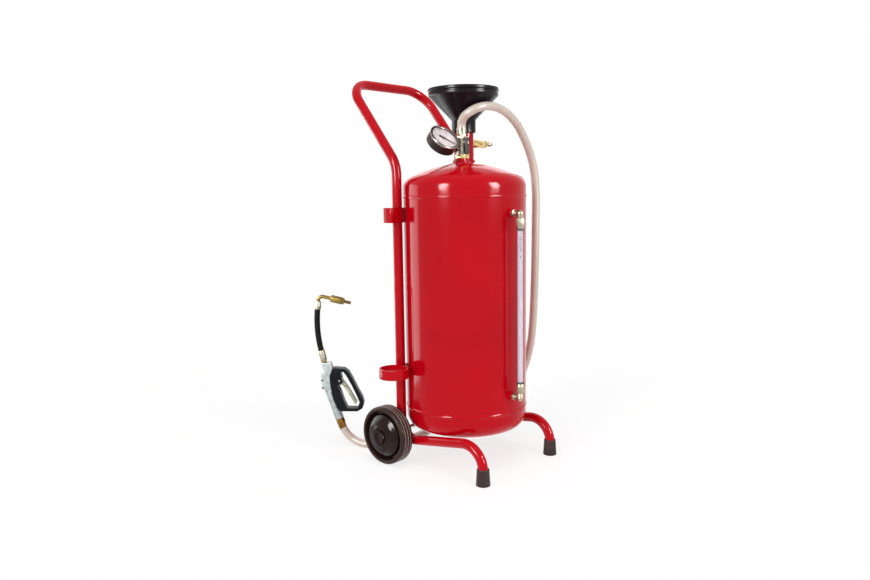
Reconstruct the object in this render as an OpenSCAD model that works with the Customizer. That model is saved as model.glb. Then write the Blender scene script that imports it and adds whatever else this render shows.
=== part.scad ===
// Mobile oil dispenser: an upright pressure tank on a bent-tube trolley,
// with a filling funnel, a sight tube, a pressure gauge, an outlet valve,
// a braided hose and an oil control gun that stands behind the trolley.
// Every size and place below is measured from the tank's axis at floor level.
// The feet point to -Y, the handle to +Y, and the axle lies along X. The part's
// own origin lies on the floor in the middle of its footprint without the hose.

/* [Tank] */
// Outside diameter of the tank
tank_d = 250; // [240:1:260]
// Wall of the tank
tank_wall = 2; // [1.5:0.5:3]
// Height of the lower seam above the floor
seam_low_z = 116; // [112:1:124]
// Length of the rolled shell between its seams
shell_len = 430; // [410:5:470]
// Straight flange of each dished head
head_flange = 18; // [14:1:22]
// Crown radius of each dished head
crown_r = 240; // [230:5:275]
// Knuckle radius of each dished head
knuckle_r = 28; // [25:1:32]
// Height of a weld bead above the steel
bead_height = 1.2; // [0.8:0.1:1.6]

/* [Trolley] */
// Outside diameter of the frame tube
tube_d = 20; // [18:1:22]
// Wall of the frame tube
tube_wall = 2; // [1:0.5:3]
// Gap between a post and the tank
post_gap = 4.3; // [3:0.1:7]
// Distance of each post from the middle plane
post_x = 113; // [110:1:118]
// Height where the posts lean back, at the bend's corner
lean_z = 612; // [600:1:625]
// Lean of the handle arms from the vertical
lean_angle = 38.4; // [35:0.1:43]
// Height of the handle bar
bar_z = 784.6; // [770:0.1:800]
// Bend radius of the handle's corners
corner_r = 54; // [46:1:60]
// Bend radius where the posts lean back
lean_r = 60; // [50:1:70]
// Height of the corner between post and leg
heel_z = 45; // [43:1:48]
// Rise of the legs towards the feet
leg_rise = 9; // [7:0.5:10]
// Bend radius at the heel
heel_r = 38; // [36:1:42]
// Bend radius above the foot
toe_r = 44; // [40:1:48]
// Distance of the feet in front of the tank's axis
foot_y = 135; // [128:1:145]

/* [Wheels] */
// Diameter of the wheels
wheel_d = 120; // [114:1:126]
// Width of the tyre
tyre_w = 29; // [26:1:32]
// Distance of the tyre's outer side from the middle plane
wheel_out_x = 158; // [156:1:162]
// Diameter of the axle
axle_d = 10; // [9:0.5:11]
// Outside diameter of the sleeves that carry the axle
sleeve_d = 21; // [19:0.5:23]
// Length of each sleeve
sleeve_len = 30; // [20:1:40]

/* [Filling] */
// Outside diameter of the filler pipe
pipe_d = 40; // [36:1:42]
// Wall of the filler pipe
pipe_wall = 2.5; // [2:0.5:3]
// Height of the filler pipe's top above the upper seam
pipe_top_z = 150; // [144:1:158]
// Outside diameter of the funnel's rim
rim_d = 143; // [136:1:150]
// Height of the funnel's rim above the upper seam
rim_z = 214; // [208:1:222]
// Wall of the funnel
funnel_wall = 2.5; // [2:0.5:3]

/* [Fittings] */
// Outlet neck, distance to the left of the tank's axis
neck_x = 30; // [29:1:33]
// Outlet neck, distance in front of the tank's axis
neck_y = 20; // [19:1:23]
// Diameter of the outlet neck
neck_d = 26; // [24:1:27]
// Height of the outlet neck's top above the upper seam
neck_top_z = 75; // [73:1:77]
// Diameter of the valve's ball
ball_d = 15; // [13:0.5:16]
// Bore through valve, ball and hose tail
flow_d = 8; // [6:0.5:8.5]
// Length of the valve's lever
lever_len = 32; // [26:1:36]
// Height of the air inlet above the upper seam
air_z = 107.5; // [104:0.5:111]
// Outside diameter of the gauge's case
gauge_d = 63; // [60:1:65]
// Depth of the gauge's case
gauge_depth = 22; // [20:1:25]
// Backward tilt of the gauge's dial
gauge_tilt = 48; // [45:1:50]
// Turn of the tilted dial round the vertical
gauge_yaw = -9.5; // [-12:0.5:0]
// Turn of the gauge round its own axis
gauge_roll = 65.7; // [64:0.1:68]

/* [Sight tube] */
// Angle of the sight tube from the front, to the left
sight_angle = 5; // [0:1:8]
// Distance of the sight tube from the tank's axis
sight_r = 150; // [148:1:154]
// Height of the upper elbow, below the upper seam
sight_top_z = -33; // [-46:1:-26]
// Height of the lower elbow
sight_low_z = 152; // [148:1:165]
// Outside diameter of the sight tube
sight_d = 10.4; // [9:0.2:11]

/* [Holders] */
// Height of the upper holder's lower edge, below the upper seam
hook_z = -50; // [-76:1:-36]
// Height of the upper holder's strip
hook_h = 30; // [24:1:34]
// Height of the lower holder's lower edge
ring_z = 186; // [176:1:200]
// Height of the lower holder's strip
ring_h = 20; // [16:1:24]
// Outside diameter of the lower holder's ring
ring_d = 60; // [54:1:64]
// Thickness of both strips
strip_t = 3; // [2:0.5:4]

/* [Hose and gun] */
// Outside diameter of the hose
hose_d = 17; // [15:0.5:18]
// Turn of the gun round the vertical
gun_turn = -47.6; // [-60:0.1:-30]
// Lean of the gun's handle from the vertical
gun_lean = 18; // [14:1:20]
// Diameter of the gun's handle
grip_d = 19; // [17:0.5:20]
// Width of the gun's guard
guard_w = 22; // [20:0.5:26]
// Free travel of the trigger
trigger_travel = 14; // [10:1:15]
// Outside diameter of the flexible spout
spout_d = 12.6; // [11:0.2:14]

/* [Hidden] */
// The part's origin, seen from the tank's axis
origin_at = [-5, 63, 0];
// Running clearance on radius of a piece that turns in another
run_gap = 0.05;
// Clearance on radius of a piece that is pushed on or screwed in
seat_gap = 0.03;
// Clearance between pieces of different bodies that lie side by side
side_gap = 0.3;
// Bands between a bent bar's straight lengths and its bends
band_trim = 0.2;
band_half = 0.6;
band_out = 0.06;
// A cut runs this far past the face that it opens
past = 1;

tank_r = tank_d / 2;
seam_top_z = seam_low_z + shell_len;
head_top_z = seam_top_z + head_flange;
head_low_z = seam_low_z - head_flange;
// What stands on the upper head or hangs under its seam
pipe_end_z = seam_top_z + pipe_top_z;
rim_end_z = seam_top_z + rim_z;
neck_end_z = seam_top_z + neck_top_z;
air_axis_z = seam_top_z + air_z;
sight_high_z = seam_top_z + sight_top_z;
hook_low_z = seam_top_z + hook_z;
crown_centre = sqrt(pow(crown_r - knuckle_r, 2) - pow(tank_r - knuckle_r, 2));
crown_edge_r = crown_r * (tank_r - knuckle_r) / (crown_r - knuckle_r);
head_rise = crown_r - crown_centre;

tube_r = tube_d / 2;
post_reach = tank_r + post_gap + tube_r;
post_y = sqrt(pow(post_reach, 2) - pow(post_x, 2));
bar_y = post_y + (bar_z - lean_z) * tan(lean_angle);
toe_z = heel_z + (foot_y + post_y) * tan(leg_rise);
split_z = ring_z + ring_h / 2;

// The axle's sleeves nestle behind the heel bends, level with the wheels' middle
heel_centre = leg_bend_centre();
axle_z = wheel_d / 2;
axle_reach = heel_r + tube_r + sleeve_d / 2 + 0.02;
axle_y = heel_centre[0] + sqrt(pow(axle_reach, 2) - pow(heel_centre[1] - axle_z, 2));

// Wheel, measured inwards from the tyre's outer side
wheel_r = wheel_d / 2;
tyre_shoulder_r = 5.4;
tyre_bead_r = wheel_r - 8.8;
groove_count = 4;
groove_first = 12.5;
groove_pitch = 4;
groove_w = 1.6;
groove_depth = 1.2;
hub_groove_r = wheel_r - 15.5;
hub_groove_depth = 10;
boss_r = 19;
boss_out = 8;
cap_r = 17;
cap_out = 3;
bush_r = axle_d / 2 + 3;
washer_t = 1.2;
sleeve_half = wheel_out_x - tyre_w - washer_t - side_gap;
axle_half = wheel_out_x + 2.5;

// Filler
pipe_r = pipe_d / 2;
stub_gap = 0.3;
stub_wall = 4;
stub_len = 23;
stub_r = pipe_r + stub_gap + stub_wall;
throat_r = pipe_r - pipe_wall - side_gap;
cone_low_z = pipe_end_z + 3;
rim_r = rim_d / 2;
rim_h = 16;
plug_r = throat_r - side_gap;
plug_low_z = pipe_end_z - 20;
air_boss_r = 8;
air_boss_len = 1.5;
air_thread_r = 4;
air_body_len = 42;
air_hex_len = 7;
air_end_x = pipe_r + air_boss_len + air_body_len + air_hex_len;

// Outlet valve
neck = [-neck_x, -neck_y];
neck_weld = 3;
hex_h = 7;
body_low_z = neck_end_z + hex_h;
body_r = 9;
body_hex_r = 11;
dip_r = 6;
port_z = body_low_z + 11;
port_out = body_r + 0.5;
ball_r = ball_d / 2;
ball_z = body_low_z + 23;
body_top_z = ball_z + 13;
tail_hex_h = 4;
ferrule_r = 10;
ferrule_h = 13;
hose_start_z = body_top_z + tail_hex_h + ferrule_h;
stem_r = 2.5;
stem_out = 11.5;
lever_t = 3;
lever_w = 12;
lever_short = 10;

// Gauge: its own frame has the dial's normal along Z and twelve o'clock along Y
gauge_r = gauge_d / 2;
gauge_wall = 1.8;
gauge_front = gauge_depth - 5;
port_elbow_r = 3.8;
elbow_arm = 3;
elbow_x = neck[0] - port_out - elbow_arm;
socket_len = 5;
socket_block = 3;
stem_dir = gauge_world([0, -1, 0]);
elbow_at = [elbow_x, neck[1], port_z];
gauge_at = elbow_at - (gauge_r + socket_len) * stem_dir;
dial_z = gauge_front - 4.5;
zero_angle = 196;

// Sight tube: its own frame has X pointing out of the tank
sight_turn = -90 - sight_angle;
sight_boss_r = 9;
sight_boss_len = 7;
elbow_r = 6.5;
nut_r = 8.6;
nut_h = 19;
nut_gap = 10;
seal_h = 3;
tube_top_z = sight_high_z - nut_gap - nut_h;
tube_low_z = sight_low_z + nut_gap + nut_h;
tube_seat = 6;

// Holders
hook_out = 30;
hook_back = 22;
hook_gap = 4;
foot_floor = 5;
ring_angle = 26;
ring_centre = [-post_x, post_y] - (ring_d / 2 + tube_r) * [cos(ring_angle), sin(ring_angle)];
lug_w = 9;

// Gun: its own frame has X to the right and Z up in the gun's plane
gun_base = [-137, 242, 44];
swivel_len = 21.5;
swivel_r = 8.6;
inlet_r = 5.5;
grip_r = grip_d / 2;
grip_top = 93;
lean_dir = [-sin(gun_lean), 0, cos(gun_lean)];
gun_dir = [lean_dir[0] * cos(gun_turn), lean_dir[0] * sin(gun_turn), lean_dir[2]];
body_w = 19;
body_top = 147;
pivot = [-4, 107];
pivot_r = 2;
trigger_w = 12;
plunger_r = 2;
plunger_drop = 9;
plunger_len = 28;

// Spout, a circular arc between two ferrules, in the gun's plane
collar_x = -36.5;
ferrule_at = [-37.4, 151.5];
ferrule_len = 23;
spout_r = spout_d / 2;
spout_lean = 12.5;
spout_turn = 19;
spout_bend_r = 275;
end_ferrule_len = 17.5;
spout_from = [-sin(spout_lean), cos(spout_lean)];
spout_to = [sin(spout_turn - spout_lean), cos(spout_turn - spout_lean)];
spout_at = ferrule_at + ferrule_len * spout_from;
spout_corner = spout_at + spout_bend_r * tan(spout_turn / 2) * spout_from;
spout_end = spout_corner + spout_bend_r * tan(spout_turn / 2) * spout_to;

// Nozzle
nozzle_drop = 14;
nozzle_dir = [cos(nozzle_drop), -sin(nozzle_drop)];
nozzle_pipe_r = 3.9;
nozzle_bend_r = 9;
nozzle_at = spout_end + (end_ferrule_len + 12.2) * spout_to;
nozzle_reach = 27.4;
nozzle_hex_len = 28.8;
nozzle_tip_len = 15;

// Route of the hose, chosen by hand, from the outlet valve to the gun's swivel
hose_route = [
    [-30, -20, 681], [-31, -21.5, 691], [-34, -30, 701], [-34, -42, 708], [-26, -52, 715],
    [-11, -59, 720], [11, -61, 722], [36, -61, 720], [59, -61, 714], [80, -61, 704],
    [101, -61, 689], [122, -61, 666], [144, -60, 637], [158, -60, 606], [166, -60, 568],
    [168, -60, 530], [167, -60, 482], [166, -60, 428], [167, -58, 374], [170, -54, 320],
    [172, -50, 272], [172, -45, 226], [171, -36, 187], [170, -24, 154], [170, -4, 115],
    [173, 26, 75], [175, 60, 40], [175, 96, 17], [170, 129, 9], [154, 153, 8.7],
    [128, 164, 8.7], [98, 164, 8.7], [66, 158, 8.7], [34, 151, 8.7], [2, 147, 8.7],
    [-30, 149, 8.7], [-60, 156, 8.7], [-90, 170, 8.7], [-110, 189, 9], [-118, 209, 11],
    [-123, 225, 17], [-130, 235, 28], [-137, 242, 44]
];

$fn = 64;

// ---------------------------------------------------------------- helpers

// Unit vector along v
function unit(v) = v / norm(v);

// Centre of the heel bend, as [y, z] in the plane of one leg
function leg_bend_centre() =
    let (heel = [post_y, heel_z],
         up = [0, 1],
         ahead = unit([-foot_y, toe_z] - heel),
         turn = acos(up * ahead),
         middle = unit(up + ahead))
    heel + middle * heel_r / sin(turn / 2);

// A direction of the gauge's own frame, in the frame of the part
function gauge_world(v) =
    let (a = [v[0] * cos(gauge_roll) - v[1] * sin(gauge_roll),
              v[0] * sin(gauge_roll) + v[1] * cos(gauge_roll), v[2]])
    let (b = [a[0], a[1] * cos(gauge_tilt) - a[2] * sin(gauge_tilt),
              a[1] * sin(gauge_tilt) + a[2] * cos(gauge_tilt)])
    [b[0] * cos(gauge_yaw) - b[1] * sin(gauge_yaw),
     b[0] * sin(gauge_yaw) + b[1] * cos(gauge_yaw), b[2]];

// Corner points of an outline, each corner rounded to radius r by an arc of n steps
function rounded(points, r, n = 5) = [
    for (i = [0 : len(points) - 1])
        let (p = points[i],
             a = unit(points[(i + len(points) - 1) % len(points)] - p),
             b = unit(points[(i + 1) % len(points)] - p),
             half = acos(a * b) / 2,
             room = min(norm(points[(i + len(points) - 1) % len(points)] - p),
                        norm(points[(i + 1) % len(points)] - p)) / 2,
             cut = min(r / tan(half), room * 0.98),
             rr = cut * tan(half),
             c = p + unit(a + b) * rr / sin(half),
             s = p + a * cut - c,
             e = p + b * cut - c,
             from = atan2(s[1], s[0]),
             sweep = ((atan2(e[1], e[0]) - from + 540) % 360) - 180)
        for (k = [0 : n])
            c + rr * [cos(from + sweep * k / n), sin(from + sweep * k / n)]
];

// Point of a smooth curve through p at segment i and share t
function curve_at(p, i, t) =
    let (last = len(p) - 1,
         a = p[max(i - 1, 0)],
         b = p[i],
         c = p[min(i + 1, last)],
         d = p[min(i + 2, last)])
    0.5 * (2 * b + (c - a) * t + (2 * a - 5 * b + 4 * c - d) * t * t
           + (3 * b - a - 3 * c + d) * t * t * t);

// A straight rod of radius r from point a to point b
module rod(a, b, r) {
    v = b - a;
    translate(a)
        rotate([0, acos(v[2] / norm(v)), atan2(v[1], v[0])])
            cylinder(r = r, h = norm(v));
}

// One bend of a round bar: corner p, arriving along u, leaving along v
module bend(p, u, v, bend_r, r, trim = 0) {
    turn = acos(u * v);
    short = trim / bend_r * 180 / PI;
    inward = unit(v - u * (u * v));
    centre = p - u * bend_r * tan(turn / 2) + inward * bend_r;
    side = cross(-inward, u);
    multmatrix([
        [-inward[0], u[0], side[0], centre[0]],
        [-inward[1], u[1], side[1], centre[1]],
        [-inward[2], u[2], side[2], centre[2]],
        [0, 0, 0, 1]
    ])
        rotate([0, 0, short])
            rotate_extrude(angle = turn - 2 * short) translate([bend_r, 0]) circle(r = r);
}

// A bar bent along points, with one bend radius for each inner point;
// a hair-thick band joins each straight length to its bend
module bent_bar(points, radii, r) {
    last = len(points) - 1;
    dirs = [for (i = [0 : last - 1]) unit(points[i + 1] - points[i])];
    cuts = [for (i = [0 : last])
        i == 0 || i == last ? 0 : radii[i - 1] * tan(acos(dirs[i - 1] * dirs[i]) / 2)];
    for (i = [0 : last - 1])
        rod(points[i] + dirs[i] * (cuts[i] + (i == 0 ? 0 : band_trim)),
            points[i + 1] - dirs[i] * (cuts[i + 1] + (i == last - 1 ? 0 : band_trim)), r);
    for (i = [1 : last - 1]) {
        bend(points[i], dirs[i - 1], dirs[i], radii[i - 1], r, band_trim);
        for (d = [-dirs[i - 1], dirs[i]])
            rod(points[i] + d * (cuts[i] - band_half), points[i] + d * (cuts[i] + band_half),
                r + band_out);
    }
}

// A flat ring along Z
module ring(outer, inner, h) {
    difference() {
        cylinder(r = outer, h = h);
        translate([0, 0, -past]) cylinder(r = inner, h = h + 2 * past);
    }
}

// Half outline of a dished head, set in by t, from the foot of its flange up
module head_outline(t) {
    translate([0, -head_flange]) square([tank_r - t, head_flange]);
    intersection() {
        translate([0, -crown_centre]) circle(r = crown_r - t, $fn = 240);
        square([crown_edge_r * (crown_r - t) / crown_r, head_rise]);
    }
    intersection() {
        translate([tank_r - knuckle_r, 0]) circle(r = knuckle_r - t, $fn = 96);
        square([tank_r, knuckle_r]);
    }
}

// A dished head without holes, its flange's foot at z = -head_flange
module dished_head() {
    rotate_extrude($fn = 128) difference() {
        head_outline(0);
        translate([0, -past]) head_outline(tank_wall);
        translate([0, -head_flange - past]) square([tank_r - tank_wall, 2 * past]);
    }
}

// The space that the upper head takes, filled up, for seating what stands on it
module top_head_filled() {
    translate([0, 0, head_top_z]) rotate_extrude($fn = 128) head_outline(0);
}

// ---------------------------------------------------------------- tank

module tank_shell() {
    color("firebrick") difference() {
        translate([0, 0, seam_low_z])
            ring(tank_r, tank_r - tank_wall, shell_len, $fn = 128);
        for (z = [sight_high_z, sight_low_z])
            rotate([0, 0, sight_turn]) translate([0, 0, z]) rotate([0, 90, 0])
                cylinder(r = 3, h = tank_r + past);
    }
}

module top_head() {
    color("firebrick") difference() {
        translate([0, 0, head_top_z]) dished_head();
        translate([0, 0, head_top_z]) cylinder(r = pipe_r, h = head_rise + past);
        translate([neck[0], neck[1], head_top_z]) cylinder(r = body_r, h = head_rise);
    }
}

module bottom_head() {
    color("firebrick") translate([0, 0, head_low_z]) mirror([0, 0, 1]) dished_head();
}

// Two beads that run round the tank over its seams
module seam_beads() {
    bead_r = 5.5;
    color("firebrick") for (z = [seam_low_z, seam_top_z]) translate([0, 0, z])
        rotate_extrude($fn = 128) difference() {
            translate([tank_r + bead_height - bead_r, 0]) circle(r = bead_r);
            translate([0, -2 * bead_r]) square([tank_r, 4 * bead_r]);
        }
}

// Four blocks that weld the tank to its posts, level with the holders
module tank_lugs() {
    color("firebrick") for (side = [-1, 1])
        for (band = [[hook_low_z, hook_h], [ring_z, ring_h]])
            translate([0, 0, band[0]]) linear_extrude(band[1]) difference() {
                rotate(atan2(post_y, side * post_x))
                    translate([tank_r - 3, -lug_w / 2]) square([tube_r + 4, lug_w]);
                circle(r = tank_r, $fn = 128);
                translate([side * post_x, post_y]) circle(r = tube_r);
            }
}

// ---------------------------------------------------------------- trolley

// Both posts, the leaning arms and the bar between them, bent from one tube
module handle_tube() {
    path = [
        [-post_x, post_y, split_z], [-post_x, post_y, lean_z], [-post_x, bar_y, bar_z],
        [post_x, bar_y, bar_z], [post_x, post_y, lean_z], [post_x, post_y, split_z]
    ];
    radii = [lean_r, corner_r, corner_r, lean_r];
    color("firebrick") difference() {
        bent_bar(path, radii, tube_r);
        bent_bar([for (i = [0 : 5]) i == 0 || i == 5 ? path[i] - [0, 0, past] : path[i]],
                 radii, tube_r - tube_wall);
    }
}

// One post's foot, its leg and its foot end, bent from one tube
module leg_tube(side) {
    path = [
        [side * post_x, post_y, split_z], [side * post_x, post_y, heel_z],
        [side * post_x, -foot_y, toe_z], [side * post_x, -foot_y, foot_floor + seat_gap]
    ];
    color("firebrick") difference() {
        bent_bar(path, [heel_r, toe_r], tube_r);
        bent_bar([path[0] + [0, 0, past], path[1], path[2], path[3] - [0, 0, past]],
                 [heel_r, toe_r], tube_r - tube_wall);
    }
}

module left_leg_tube() { leg_tube(-1); }

module right_leg_tube() { leg_tube(1); }

// Rubber caps, wider at the floor, that the tube ends stand in
module foot_caps() {
    cap_h = 33;
    color("#26221f") for (side = [-1, 1]) translate([side * post_x, -foot_y, 0])
        difference() {
            union() {
                cylinder(r1 = tube_r + 4, r2 = tube_r + 2.2, h = cap_h - 3);
                translate([0, 0, cap_h - 3])
                    cylinder(r1 = tube_r + 2.2, r2 = tube_r + 1.6, h = 3);
            }
            translate([0, 0, foot_floor]) cylinder(r = tube_r + band_out + seat_gap, h = cap_h);
            translate([0, 0, cap_h - 8]) cylinder(r = tube_r + 0.6, h = cap_h);
        }
}

// Places its children on the axle's line, their Z along the part's X
module on_axle() {
    translate([0, axle_y, axle_z]) rotate([0, 90, 0]) children();
}

// One short sleeve behind each heel
module axle_sleeves() {
    color("firebrick") for (side = [0, 1]) mirror([side, 0, 0])
        on_axle() translate([0, 0, sleeve_half - sleeve_len])
            ring(sleeve_d / 2, axle_d / 2 + seat_gap, sleeve_len);
}

module axle() {
    color("silver") on_axle() translate([0, 0, -axle_half])
        cylinder(r = axle_d / 2, h = 2 * axle_half);
}

// One washer at the outer end of each sleeve
module axle_washers() {
    color("silver") for (side = [0, 1]) mirror([side, 0, 0])
        on_axle() translate([0, 0, sleeve_half])
            ring(axle_d / 2 + 5, axle_d / 2 + seat_gap, washer_t);
}

// Push-on spring clips that keep the wheels on the axle
module axle_clips() {
    color("silver") for (side = [0, 1]) mirror([side, 0, 0])
        on_axle() translate([0, 0, wheel_out_x])
            ring(axle_d / 2 + 3.5, axle_d / 2, 0.8);
}

// ---------------------------------------------------------------- wheels

// Places a wheel: the tyre's outer side at z = 0, the tank towards -z
module at_wheel(side) {
    mirror([side < 0 ? 1 : 0, 0, 0]) on_axle() translate([0, 0, wheel_out_x]) children();
}

module tyre(side) {
    corner = wheel_r - tyre_shoulder_r;
    color("#33261f") at_wheel(side) rotate_extrude($fn = 128) difference() {
        translate([tyre_bead_r, -tyre_w]) square([wheel_r - tyre_bead_r, tyre_w]);
        difference() {
            translate([corner, -tyre_shoulder_r]) square(tyre_shoulder_r + past);
            translate([corner, -tyre_shoulder_r]) circle(r = tyre_shoulder_r);
        }
        for (i = [0 : groove_count - 1])
            translate([wheel_r - groove_depth, -groove_first - i * groove_pitch - groove_w])
                square([2 * groove_depth, groove_w]);
    }
}

module hub(side) {
    rim = tyre_bead_r - seat_gap;
    color("#3a2b24") at_wheel(side) rotate_extrude($fn = 128) difference() {
        polygon([
            [bush_r + seat_gap, -tyre_w], [rim, -tyre_w + 3], [rim, -hub_groove_depth],
            [hub_groove_r, -hub_groove_depth], [hub_groove_r - 1, -2.5],
            [hub_groove_r - 3, -1], [boss_r + 3, 6.5], [boss_r, boss_out],
            [cap_r + 0.2, boss_out], [cap_r + 0.2, boss_out - 2.5], [bush_r + 4, boss_out - 2.5],
            [bush_r + 4, -1.4], [bush_r + seat_gap, -1.4]
        ]);
        // The back of the wheel is hollow between its hub and its rim
        polygon([
            [bush_r + 4, -tyre_w - past], [bush_r + 4, -hub_groove_depth - 4],
            [hub_groove_r - 6, -hub_groove_depth - 4], [rim - 4, -tyre_w + 6],
            [rim - 4, -tyre_w - past]
        ]);
    }
}

module bush(side) {
    color("ivory") at_wheel(side) translate([0, 0, -tyre_w])
        ring(bush_r, axle_d / 2 + run_gap, tyre_w - 1.4);
}

// Round cap that closes the boss over the axle's end
module hub_cap(side) {
    color("#2e221c") at_wheel(side) rotate_extrude() polygon([
        [0, boss_out - 2.5], [cap_r, boss_out - 2.5], [cap_r, boss_out + cap_out - 1.5],
        [cap_r - 2.5, boss_out + cap_out], [0, boss_out + cap_out]
    ]);
}

module left_tyre() { tyre(-1); }
module left_hub() { hub(-1); }
module left_bush() { bush(-1); }
module left_hub_cap() { hub_cap(-1); }
module right_tyre() { tyre(1); }
module right_hub() { hub(1); }
module right_bush() { bush(1); }
module right_hub_cap() { hub_cap(1); }

// ---------------------------------------------------------------- holders

// Strip across the left post, bent back at its outer end into a hook
module upper_holder() {
    front_y = post_y - tube_r - strip_t;
    outer_x = -post_x - hook_out;
    bend_r = strip_t + 1.5;
    inner_x = -sqrt(pow(tank_r, 2) - pow(front_y, 2)) - hook_gap;
    color("firebrick") translate([0, 0, hook_low_z]) linear_extrude(hook_h) {
        translate([outer_x + bend_r, front_y]) square([inner_x - outer_x - bend_r, strip_t]);
        translate([outer_x, front_y + bend_r]) square([strip_t, hook_back - bend_r]);
        translate([outer_x + bend_r, front_y + bend_r]) intersection() {
            difference() {
                circle(r = bend_r);
                circle(r = bend_r - strip_t);
            }
            translate([-bend_r, -bend_r]) square(bend_r);
        }
    }
}

// Strip ring that holds the gun, welded to the left post
module lower_holder() {
    color("firebrick") translate([ring_centre[0], ring_centre[1], ring_z])
        ring(ring_d / 2, ring_d / 2 - strip_t, ring_h);
}

// ---------------------------------------------------------------- filling

module filler_pipe() {
    foot_z = head_top_z + head_rise - 8;
    color("firebrick") difference() {
        union() {
            rotate_extrude($fn = 96) union() {
                translate([pipe_r - pipe_wall, foot_z]) square([pipe_wall, pipe_end_z - foot_z]);
                difference() {
                    polygon([
                        [pipe_r - 1, foot_z + 2], [pipe_r + 8, foot_z + 2],
                        [pipe_r - 1, foot_z + 16]
                    ]);
                    translate([0, head_top_z - crown_centre]) circle(r = crown_r, $fn = 240);
                }
            }
            translate([0, 0, air_axis_z]) rotate([0, 90, 0]) translate([0, 0, pipe_r - pipe_wall + 1])
                cylinder(r = air_boss_r, h = pipe_wall + air_boss_len - 1);
        }
        at_neck(foot_z) cylinder(r = neck_d / 2 + neck_weld, h = 30);
        translate([0, 0, air_axis_z]) rotate([0, 90, 0])
            cylinder(r = air_thread_r, h = pipe_r + air_boss_len + past);
    }
}

module funnel() {
    low_z = pipe_end_z - stub_len;
    rim_low_z = rim_end_z - rim_h;
    color("#1c1a1b") {
        rotate_extrude($fn = 128) polygon([
            [pipe_r + stub_gap, low_z], [stub_r, low_z], [stub_r, cone_low_z],
            [rim_r - 2.5, rim_low_z], [rim_r - 1, rim_low_z + 1], [rim_r - 1, rim_end_z - 9.5],
            [rim_r - 2, rim_end_z - 8.5], [rim_r - 2, rim_end_z - 7.5], [rim_r, rim_end_z - 6.5],
            [rim_r, rim_end_z - 1], [rim_r - 1, rim_end_z], [rim_r - funnel_wall - 1, rim_end_z],
            [rim_r - funnel_wall - 2.5, rim_low_z + 1], [throat_r + 3, cone_low_z + 2],
            [throat_r, cone_low_z], [throat_r, pipe_end_z], [pipe_r + stub_gap, pipe_end_z]
        ]);
        // Moulded rib on the side of the stub
        translate([stub_r - 0.5, -1.2, low_z]) cube([2.5, 2.4, stub_len]);
    }
}

// Plug with a bar to pull it by; its collar rests on the funnel's throat
module filler_plug() {
    plug_groove_z = plug_low_z + 6;
    handle_z = pipe_end_z + 22;
    color("#242424") difference() {
        union() {
            translate([0, 0, plug_low_z]) cylinder(r = plug_r, h = cone_low_z - plug_low_z);
            translate([0, 0, cone_low_z]) cylinder(r1 = plug_r, r2 = plug_r + 3, h = 2);
            translate([0, 0, cone_low_z + 2]) cylinder(r = plug_r + 3, h = 2);
            translate([0, 0, cone_low_z]) cylinder(r = 6, h = handle_z - cone_low_z);
            translate([-20, 0, handle_z]) rotate([0, 90, 0]) cylinder(r = 4.5, h = 40);
        }
        translate([0, 0, plug_groove_z]) ring(plug_r + past, plug_r - 2.6, 3);
    }
}

// Ring that seals the plug against the pipe
module plug_seal() {
    color("#111111") translate([0, 0, plug_low_z + 7.5])
        rotate_extrude() translate([plug_r - 1.15, 0]) circle(r = 1.35);
}

// Brass inlet valve, screwed into the side of the pipe
module air_valve() {
    face = pipe_r + air_boss_len;
    color("goldenrod") translate([0, 0, air_axis_z]) rotate([0, 90, 0]) difference() {
        union() {
            translate([0, 0, pipe_r - 2]) cylinder(r = air_thread_r - seat_gap, h = 6);
            translate([0, 0, face]) cylinder(r = 7, h = air_body_len);
            translate([0, 0, face + air_body_len]) cylinder(r = 7.8, h = air_hex_len, $fn = 6);
        }
        translate([0, 0, pipe_r - 3]) cylinder(r = 2, h = air_end_x);
    }
}

// Plug-in nipple for the air line
module air_nipple() {
    color("darkkhaki") translate([air_end_x, 0, air_axis_z]) rotate([0, 90, 0])
        rotate_extrude() polygon([
            [1.5, 0], [5, 0], [5, 3], [3.2, 4.5], [3.2, 9], [4.4, 11], [4.4, 13.5],
            [3.2, 15], [3.2, 19.5], [2.6, 20.5], [1.5, 20.5]
        ]);
}

// ---------------------------------------------------------------- outlet valve

module at_neck(z) { translate([neck[0], neck[1], z]) children(); }

// Stub on the upper head that takes the outlet's reducer
module outlet_neck() {
    foot_z = head_top_z + head_rise - 8;
    color("firebrick") difference() {
        at_neck(foot_z) union() {
            cylinder(r = neck_d / 2, h = neck_end_z - foot_z);
            cylinder(r1 = neck_d / 2 + neck_weld, r2 = neck_d / 2, h = 10);
        }
        top_head_filled();
        at_neck(foot_z - past) cylinder(r = body_r, h = 100);
        translate([0, 0, foot_z]) cylinder(r = pipe_r + side_gap, h = 40);
    }
}

// Brass reducer: a hexagon over a thread that hangs in the neck
module neck_reducer() {
    color("darkgoldenrod") difference() {
        union() {
            at_neck(neck_end_z) cylinder(r = 14, h = hex_h, $fn = 6);
            at_neck(neck_end_z - 9) cylinder(r = body_r - seat_gap, h = 9.5);
        }
        at_neck(neck_end_z - 10) cylinder(r = dip_r + seat_gap, h = hex_h + 20);
    }
}

// Pipe that hangs from the reducer almost to the bottom of the tank
module dip_tube() {
    low_z = head_low_z - head_rise + tank_wall + 14;
    color("gainsboro") at_neck(low_z) ring(dip_r, dip_r - 1, neck_end_z + hex_h - low_z);
}

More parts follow.
